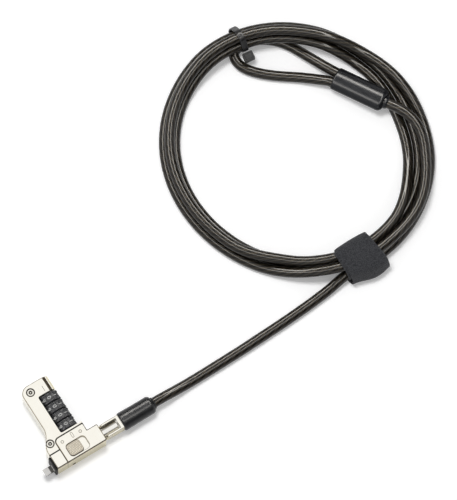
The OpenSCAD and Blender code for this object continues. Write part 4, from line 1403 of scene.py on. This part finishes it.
@dataclass
class ThumbLatch(SubAssembly):
    """Thumb pad with its pointed grip, and the sliding works under it."""

    home: ClassVar[Body] = Body.LATCH
    left: float = -0.0030
    low: float = -0.03025
    length: float = 0.0087
    width: float = 0.0077
    top: float = 0.0126
    corner: float = 0.0020
    margin: float = 0.00062
    point: float = 0.00094
    row_share: float = 0.86
    foot: float = 0.00030
    rise: float = 0.00022
    sunk: float = 0.0001

    def build(self) -> None:
        """Builds the pad and dresses the works."""
        bm = merged_copy("thumb_pad")
        tones = [PAD_METAL, PAD_SHADED_GROUND, NICKEL_SHADE_EDGE]
        crown = self.top - NEAR
        # Painted shade on the pad's sides below its top.
        paint(faces(bm, lambda n, p: p.z > 0.0115), tones, NICKEL_SHADE_EDGE)
        # Painted shade on the ground between the grip's points.
        paint(faces(bm, lambda n, p: p.z > crown), tones, PAD_SHADED_GROUND)
        rim = soften(bm, 0.00040, 2, lambda e: all(v.co.z > crown for v in e.verts), clamp=False)
        paint(rim, tones, PAD_SHADED_GROUND)
        # Painted shade along the pad's front edge.
        paint([f for f in rim if f.normal.y < -0.15], tones, NICKEL_SHADE_EDGE)
        self.keep(bm, "thumb_pad_body", tones, "nickel", "thumb_pad")
        self.build_grip()
        # The lock pin takes the painted shade of the slit under the hook.
        self.dress(PIN_SLIT_SHADE, "lock_pin")
        self.dress(STEEL, "latch_carriage")
        self.dress(SPRING_STEEL, "latch_spring")

    def build_grip(self) -> None:
        """Rows of small blunt points on top of the pad, each second row set over by half a step."""
        bm = bmesh.new()
        centre = Vector((self.left + self.length / 2, self.low + self.width / 2, self.top))
        rows = int(self.width / self.point) + 1
        columns = int(self.length / self.point) + 2
        reach = self.corner - self.margin
        for j in range(-rows, rows + 1):
            for i in range(-columns, columns + 1):
                away = Vector(((i + 0.5 * (j % 2)) * self.point, j * self.point * self.row_share, 0.0))
                dx = abs(away.x) - (self.length / 2 - self.corner)
                dy = abs(away.y) - (self.width / 2 - self.corner)
                if max(dx, dy) > reach or dx > 0 and dy > 0 and math.hypot(dx, dy) > reach:
                    continue
                place = centre + away + Vector((0, 0, (self.rise - self.sunk) / 2))
                bmesh.ops.create_cone(
                    bm, cap_ends=True, segments=8, radius1=self.foot * 1.25, radius2=self.foot * 0.8,
                    depth=self.rise + self.sunk, matrix=Matrix.Translation(place),
                )
        bmesh.ops.recalc_face_normals(bm, faces=bm.faces)
        self.keep(bm, "thumb_pad_grip", [PAD_METAL], "nickel", sharp=50.0, even=False)


@dataclass
class NumberWheels(SubAssembly):
    """Four number wheels with raised digits, and the clutch works inside them."""

    axis_x: float = 0.0044
    axis_z: float = 0.0065
    radius: float = 0.0064
    half: float = 0.0028
    bore: float = 0.00375
    first_y: float = 0.00595
    pitch: float = 0.0059
    drum: float = 0.00614
    rim: float = 0.0013
    notch: float = 0.00032
    notches: int = 10
    steps: int = 120
    digits: int = 10
    digit_height: float = 0.0024
    capital: float = 0.7
    slices: int = 6
    ink: float = 0.00004

    def build(self) -> None:
        """Builds the wheels and their digits, and dresses the works."""
        for number in range(1, 5):
            y = self.first_y - (number - 1) * self.pitch
            self.build_wheel(number, y)
            self.build_digits(number, y)
            self.dress(SPRING_STEEL, f"wheel_hub_{number}")
        self.dress(STEEL, "spindle")
        self.dress(SPRING_STEEL, "spindle_spring")

    def build_wheel(self, number: int, y: float) -> None:
        """Turns one wheel and presses the finger notches into its rims.

        Args:
            number: Number of the wheel, from 1.
            y: Middle of the wheel along the arm.
        """
        w, r = self.half, self.radius
        side = [
            (w - self.rim, self.drum), (w - 0.00105, r - 0.00004), (w - 0.0007, r), (w - 0.00042, r - 0.00004),
            (w - 0.00012, r - 0.00028), (w, r - 0.0006), (w, self.bore),
        ]
        profile = [(-a, b) for a, b in reversed(side)] + side
        origin = Vector((self.axis_x, y, self.axis_z))
        bm = turned(profile, origin, AXIS_Y, self.steps)
        for vert in bm.verts:
            arm = vert.co - origin
            reach = math.hypot(arm.x, arm.z)
            if reach > self.drum + NEAR or reach > r - 0.0007 and abs(arm.y) > w - self.rim:
                turn = math.atan2(arm.x, arm.z)
                press = (0.5 - 0.5 * math.cos(self.notches * turn)) ** 2 * self.notch
                scale = (reach - press) / reach
                vert.co = origin + Vector((arm.x * scale, arm.y, arm.z * scale))
        self.keep(
            bm, f"wheel_{number}_drum", [WHEEL_BLACK], "wheel", f"wheel_{number}", sharp=40.0,
            body=f"dial_{number}",
        )

    def flat_digit(self, digit: int) -> BMesh:
        """Flat raised digit, cut into slices that let it bend.

        Args:
            digit: Number from 0 to 9.

        Returns:
            The digit, around the origin.
        """
        curve = bpy.data.curves.new("digit_outline", "FONT")
        curve.body = str(digit)
        curve.size = self.digit_height / self.capital
        curve.extrude = self.ink / 2
        curve.align_x = "CENTER"
        curve.resolution_u = 4
        maker = in_scene("digit_outline", curve)
        bpy.context.view_layer.update()
        mesh = bpy.data.meshes.new_from_object(maker)
        bpy.data.objects.remove(maker)
        bpy.data.curves.remove(curve)
        bm = bmesh.new()
        bm.from_mesh(mesh)
        bpy.data.meshes.remove(mesh)
        bmesh.ops.remove_doubles(bm, verts=bm.verts, dist=CUT)
        for k in range(1, self.slices):
            score(bm, Vector((0.0, self.digit_height * k / self.slices, 0.0)), AXIS_Y)
        return bm

    def build_digits(self, number: int, y: float) -> None:
        """Wraps ten digits round one wheel.

        Args:
            number: Number of the wheel, from 1.
            y: Middle of the wheel along the arm.
        """
        whole = bmesh.new()
        for digit in range(self.digits):
            bm = self.flat_digit(digit)
            for vert in bm.verts:
                turn = math.radians(360 / self.digits * digit) + (vert.co.y - self.digit_height / 2) / self.drum
                reach = self.drum + self.ink * 0.4 + vert.co.z
                place = (self.axis_x + reach * math.sin(turn), y - vert.co.x, self.axis_z + reach * math.cos(turn))
                vert.co = Vector(place)
            mesh = bpy.data.meshes.new("digit_mesh")
            bm.to_mesh(mesh)
            bm.free()
            whole.from_mesh(mesh)
            bpy.data.meshes.remove(mesh)
        bmesh.ops.recalc_face_normals(whole, faces=whole.faces)
        self.keep(whole, f"wheel_{number}_digits", [DIGIT_PAINT], "wheel", even=False, body=f"dial_{number}")


@dataclass
class ResetWorks(SubAssembly):
    """Plunger behind the reset hole."""

    def build(self) -> None:
        """Dresses the plunger and its spring."""
        # The plunger takes the painted shade of the hole it sits in.
        self.dress(RECESS_SHADE, "reset_plunger")
        self.dress(SPRING_STEEL, "reset_spring")


@dataclass
class Swivel(SubAssembly):
    """Swivel post, the yoke pinned to it and the moulded sleeve over the crimp."""

    axis_y: float = -0.0262
    axis_z: float = 0.0064
    journal_start: float = 0.0156
    journal_radius: float = 0.0022
    post_start: float = 0.0192
    post_radius: float = 0.0029
    post_reach: float = 0.0068
    post_steps: int = 14
    pin_x: float = 0.0228
    pin_reach: float = 0.00425
    pin_radius: float = 0.001
    yoke_end: float = 0.0313
    yoke_inner: float = 0.0038
    sleeve_start: float = 0.0316
    sleeve_length: float = 0.022
    sleeve_radius: float = 0.0055
    sleeve_round: float = 0.0026
    cable_radius: float = 0.00295
    edge: float = 0.0003

    def build(self) -> None:
        """Builds the swivel's pieces."""
        self.build_post()
        self.build_yoke()
        self.build_pin()
        self.build_sleeve()
        self.dress(SPRING_STEEL, "post_ring", "crimp_barrel")

    def at(self, x: float) -> Vector:
        """Point on the cable's axis."""
        return Vector((x, self.axis_y, self.axis_z))

    def build_post(self) -> None:
        """Polished post: a journal in the block, a broad shank and a round end that clears the yoke."""
        start, pin, reach = self.post_start, self.pin_x, self.post_reach
        r = self.post_radius
        profile = [(self.journal_start, 0.0), (self.journal_start, self.journal_radius)]
        profile += [(start, self.journal_radius), (start, r - 0.00015), (start + 0.00015, r)]
        first = math.asin(r / reach)
        for k in range(self.post_steps + 1):
            turn = first * (1 - k / self.post_steps)
            profile.append((pin + reach * math.cos(turn), reach * math.sin(turn)))
        bm = turned(profile, self.at(0.0), AXIS_X, 96, closed=False)
        soften(bm, 0.00045, 4, lambda e: middle(e).x > pin and e.calc_face_angle(0.0) > 0.3, 20.0)
        self.keep(
            bm, "swivel_post_chrome", [CHROME], "chrome", "swivel_post", sharp=60.0, body=Body.POST.value
        )

    def build_yoke(self) -> None:
        """Cast yoke with rounded edges, with painted shade on its front faces, its outer rounded edges and the top of
        its opening.
        """
        bm = merged_copy("yoke")
        tones = [NICKEL, NICKEL_SHADED_WALL, NICKEL_SHADE_MARK]
        rounded = soften(bm, self.edge, 3, lambda e: middle(e).x < self.yoke_end)
        # Painted shade on the faces that look to the front.
        paint(faces(bm, lambda n, p: n.y < -0.5), tones, NICKEL_SHADED_WALL)
        # Painted shade on the upper arm's inner wall, at the top of the opening.
        paint(faces(bm, lambda n, p: n.y < -0.9 and p.y > self.axis_y), tones, NICKEL_SHADE_MARK)
        # Painted shade on the outer rounded edges.
        outside = [f for f in rounded if abs(f.calc_center_median().y - self.axis_y) > self.yoke_inner]
        paint([f for f in outside if f.normal.z > -0.2 and f.normal.y > -0.9], tones, NICKEL_SHADE_MARK)
        self.keep(bm, "yoke_cast", tones, "nickel", "yoke")

    def build_pin(self) -> None:
        """Yoke pin with domed ends."""
        reach = self.pin_reach
        dome = [(reach - 0.0002, self.pin_radius), (reach, 0.00085), (reach + 0.0002, 0.0005), (reach + 0.00025, 0.0)]
        profile = [(-a, b) for a, b in reversed(dome)] + dome
        bm = turned(profile, self.at(self.pin_x), AXIS_Y, 32, closed=False)
        self.keep(bm, "yoke_pin_domed", [STEEL], "steel", "yoke_pin")

    def build_sleeve(self) -> None:
        """Moulded sleeve: a low flange at the yoke, a faint waist, and a full round far end with a lip."""
        r, long, hole = self.sleeve_radius, self.sleeve_length, self.cable_radius + 0.00005
        waist, shoulder, lip = r - 0.0002, long - 0.0034, r - 0.0002 - self.sleeve_round
        profile = [
            (0.0, 0.0023), (0.0, r - 0.0011), (0.00008, r - 0.0007), (0.0003, r - 0.00035), (0.0007, r - 0.00008),
            (0.0012, r), (0.0024, r - 0.00004), (0.010, waist), (shoulder, waist),
        ]
        for k in range(1, 8):
            turn = math.radians(90 * k / 8)
            profile.append(
                (shoulder + self.sleeve_round * math.sin(turn), waist - self.sleeve_round * (1 - math.cos(turn)))
            )
        profile += [
            (long - 0.0007, lip + 0.0009), (long - 0.0002, lip + 0.0007), (long, lip + 0.00042),
            (long, hole), (long - 0.002, hole), (long - 0.002, hole - 0.0002),
            (long - 0.0037, 0.0028), (0.0004, 0.0023),
        ]
        bm = turned(profile, self.at(self.sleeve_start), AXIS_X, 72)
        self.keep(bm, "cable_sleeve_moulded", [SLEEVE_VINYL], "black_plastic", "cable_sleeve", sharp=50.0)


@dataclass
class Ferrule(SubAssembly):
    """Flat moulded ferrule that closes the eye."""

    route: CableRoute = field(default_factory=CableRoute)
    length: float = 0.032
    width: float = 0.0134
    thickness: float = 0.0082
    points: int = 64
    nose_round: float = 0.0030
    tail_round: float = 0.0010
    collar: float = 0.0037
    plump: float = 1.84

    def outline(self, along: float, inset: float) -> list[Vector]:
        """Ring of the ferrule: a plump oval.

        Args:
            along: Distance from its right end.
            inset: How much smaller the ring is than the full section.

        Returns:
            Its points.
        """
        half_w = self.width / 2 - inset
        half_t = self.thickness / 2 - inset * 0.8
        top = self.route.along.cross(self.route.across)
        origin = self.route.ferrule_left + self.route.along * (along - self.length)
        ring = []
        for k in range(self.points):
            turn = math.tau * (k + 0.5) / self.points
            c, s = math.cos(turn), math.sin(turn)
            fit = (abs(c) ** self.plump + abs(s) ** self.plump) ** (-1.0 / self.plump)
            ring.append(origin + self.route.across * (half_w * fit * c) + top * (half_t * fit * s))
        return ring

    def build(self) -> None:
        """Skins the body, and adds the collar round the cable."""
        rings = [
            self.outline(self.nose_round * (1 - math.cos(t)), self.nose_round * (1 - math.sin(t)))
            for t in (math.radians(90 * k / 9) for k in range(10))
        ]
        rings += [self.outline(self.length * part, 0.0) for part in (0.25, 0.5, 0.75)]
        rings += [
            self.outline(self.length - self.tail_round * (1 - math.sin(t)), self.tail_round * (1 - math.cos(t)))
            for t in (math.radians(90 * k / 4) for k in range(5))
        ]
        body = skinned(rings)
        self.keep(body, "ferrule_moulded", [FERRULE_GLOSS], "ferrule_plastic", "ferrule_cover", sharp=50.0)
        r = self.collar
        profile = [
            (0.0006, r + 0.0003), (-0.0004, r + 0.0001), (-0.0010, r - 0.0002), (-0.0013, r - 0.00055),
            (-0.0013, 0.003), (0.0006, 0.003),
        ]
        bm = turned(profile, self.route.ferrule_right, self.route.along, 40)
        self.keep(bm, "ferrule_collar", [FERRULE_GLOSS], "ferrule_plastic")
        self.dress(SPRING_STEEL, "ferrule_crimp")


def hull_ring(spots: Sequence[Vector], radius: float, count: int) -> list[tuple[Vector, Vector]]:
    """Tight ring round circles.

    Args:
        spots: Middles of the circles.
        radius: Radius of each.
        count: Number of points of the ring.

    Returns:
        Evenly spaced points of the ring, each with its outward direction.
    """
    turns = [math.tau * k / 90 for k in range(90)]
    cloud = [spot + Vector((math.cos(t), math.sin(t))) * radius for spot in spots for t in turns]
    hull = [cloud[i].to_3d() for i in convex_hull_2d(cloud)]
    sides = list(zip(hull, hull[1:] + hull[:1]))
    if sum(p.x * q.y - q.x * p.y for p, q in sides) < 0:
        hull.reverse()
    loop = evenly(hull + [hull[0]], sum((q - p).length for p, q in sides) / count)[:-1]
    ring = []
    for i, point in enumerate(loop):
        ahead = loop[(i + 1) % len(loop)] - loop[i - 1]
        ring.append((point.to_2d(), Vector((ahead.y, -ahead.x)).normalized()))
    return ring


@dataclass
class BundleStrap(SubAssembly):
    """Hook and loop strap, wrapped once and a half round the bundle."""

    route: CableRoute = field(default_factory=CableRoute)
    angle: float = 268.6
    length: float = 0.021
    thick: float = 0.00105
    clear: float = 0.00035
    columns: int = 22
    around: int = 96
    wrap: float = 1.55
    begin: float = 0.36
    doubled: tuple[float, float] = (0.80, 0.98)
    under_slip: float = 0.0014

    def build(self) -> None:
        half = math.degrees(math.atan(self.length / 2 / self.route.loop_radius))
        spots = self.route.spots(self.angle, (0, 360, 720, 1080), half)
        ring = hull_ring(spots, self.route.radius + self.clear, self.around)
        mid_x = self.route.coil.x + on_circle(self.angle).x * self.route.loop_radius
        rings = []
        for i in range(int(self.around * self.wrap) + 1):
            part = i / self.around
            place, normal = ring[int(round((part + self.begin) * self.around)) % self.around]
            over = ramp(part, *self.doubled)
            row = []
            for k in range(self.columns + 1):
                s = k / self.columns * 2 - 1
                crown = 0.00035 * (1 - s * s) + 0.0002 * over * (1 - s**4)
                spot = place + normal * (self.thick / 2 + over * (self.thick + 0.0001) + crown)
                slip = self.length / 2 * s - self.under_slip * (1 - over) + self.slant(spot, s)
                spot.x += self.bulge(spot, s, over)
                row.append(Vector((mid_x + slip, self.route.coil.y - spot.x, spot.y)))
            rings.append(row)
        bm = skinned(rings, closed=False, capped=False)
        strap = self.keep(bm, "hook_loop_strap", [STRAP_FABRIC], "strap", "strap", sharp=70.0, even=False)
        wall = strap.modifiers.new("cloth", "SOLIDIFY")
        wall.thickness = self.thick
        wall.offset = 0.0
        edge = strap.modifiers.new("edge", "BEVEL")
        edge.width = 0.0003
        edge.segments = 2
        edge.limit_method = "ANGLE"
        edge.angle_limit = math.radians(60)

    def slant(self, spot: Vector, s: float) -> float:
        """How far the strap's right edge swells where it turns under the bundle.

        Args:
            spot: Place on the strap.
            s: Part of the width, 1 at the right edge.

        Returns:
            The swelling.
        """
        outer = ramp(spot.x, 0.068, 0.080)
        inner = 1.0 - ramp(spot.x, 0.0635, 0.0685)
        return (0.0018 * outer - 0.0008 * inner) * max(s, 0.0) ** 2

    def bulge(self, spot: Vector, s: float, over: float) -> float:
        """How far the strap stands off the bundle at its outer side, most near its right edge."""
        swell = 0.0011 + 0.0030 * ramp(s, -0.9, 0.35) - 0.0010 * ramp(s, 0.5, 1.1)
        return swell * ramp(spot.x, 0.070, 0.0805) * (0.8 + 0.2 * over)


@dataclass
class CableTie(SubAssembly):
    """Nylon tie round the bundle and the far end of the eye."""

    route: CableRoute = field(default_factory=CableRoute)
    angle: float = 83.3
    width: float = 0.0034
    thick: float = 0.0011
    clear: float = 0.0002
    around: int = 72
    swing: float = 0.0062
    stand_off: float = 0.0018
    loose_from: float = 0.0700
    loose_to: float = 0.0810

    def build(self) -> None:
        """Builds the band and the head."""
        spots = self.route.spots(self.angle, (360, 720, 1080), 0.8)
        bend = self.route.eye_bend - self.route.coil
        spots.append(Vector((math.hypot(bend.x, bend.y), bend.z)))
        radial = on_circle(self.angle)
        tangent = Vector((-radial.y, radial.x, 0.0))
        section = [
            (-0.5, 0.15), (-0.42, 0.0), (0.42, 0.0), (0.5, 0.15), (0.5, 0.8), (0.42, 0.95), (0.2, 1.0),
            (-0.2, 1.0), (-0.42, 0.95), (-0.5, 0.8),
        ]
        rings = []
        for place, normal in hull_ring(spots, self.route.radius + self.clear, self.around):
            loose = ramp(place.x, self.loose_from, self.loose_to)
            aslant = self.swing * ramp(place.x, self.loose_from - 0.004, self.loose_to) * (
                1.0 - 0.8 * ramp(place.y, 0.003, 0.0125)
            )
            row = []
            for a, b in section:
                spot = place + normal * (self.thick * b)
                out = self.route.coil + radial * (spot.x + self.stand_off * loose)
                row.append(out + AXIS_Z * spot.y + tangent * (self.width * a + aslant))
            rings.append(row)
        bm = skinned(rings + [rings[0]], capped=False)
        bmesh.ops.remove_doubles(bm, verts=bm.verts, dist=MERGE)
        bmesh.ops.recalc_face_normals(bm, faces=bm.faces)
        self.keep(bm, "tie_band_nylon", [NYLON], "nylon", "tie_band", sharp=50.0)
        self.build_head()

    def build_head(self) -> None:
        """Ratchet head with round edges and a slot."""
        bm = merged_copy("tie_head")
        soften(bm, 0.0006, 3, lambda e: True)
        top = max(bm.faces, key=lambda f: f.normal.z * f.calc_area())
        bmesh.ops.inset_region(bm, faces=[top], thickness=0.0009, depth=0.0)
        bmesh.ops.translate(bm, verts=list(top.verts), vec=(0, 0, -0.0007))
        self.keep(bm, "tie_head_nylon", [TIE_HEAD], "nylon", "tie_head")


def main() -> None:
    """Builds the studio and the sub-assemblies in order, and reports each piece."""
    logging.basicConfig(level=logging.INFO, format="%(message)s")
    studio = Studio()
    studio.build()
    route = CableRoute()
    parts = (
        SteelCable(route=route),
        LockHead(),
        ThumbLatch(),
        NumberWheels(),
        ResetWorks(),
        Swivel(),
        Ferrule(route=route),
        BundleStrap(route=route),
        CableTie(route=route),
    )
    for part in parts:
        part.build()
        part.report()
    dark = [material(finish) for finish in DARK_GLOSS]
    studio.aim_ring(piece for part in parts for piece in part.pieces if piece.data.materials[0] in dark)


if __name__ == "__main__":
    main()
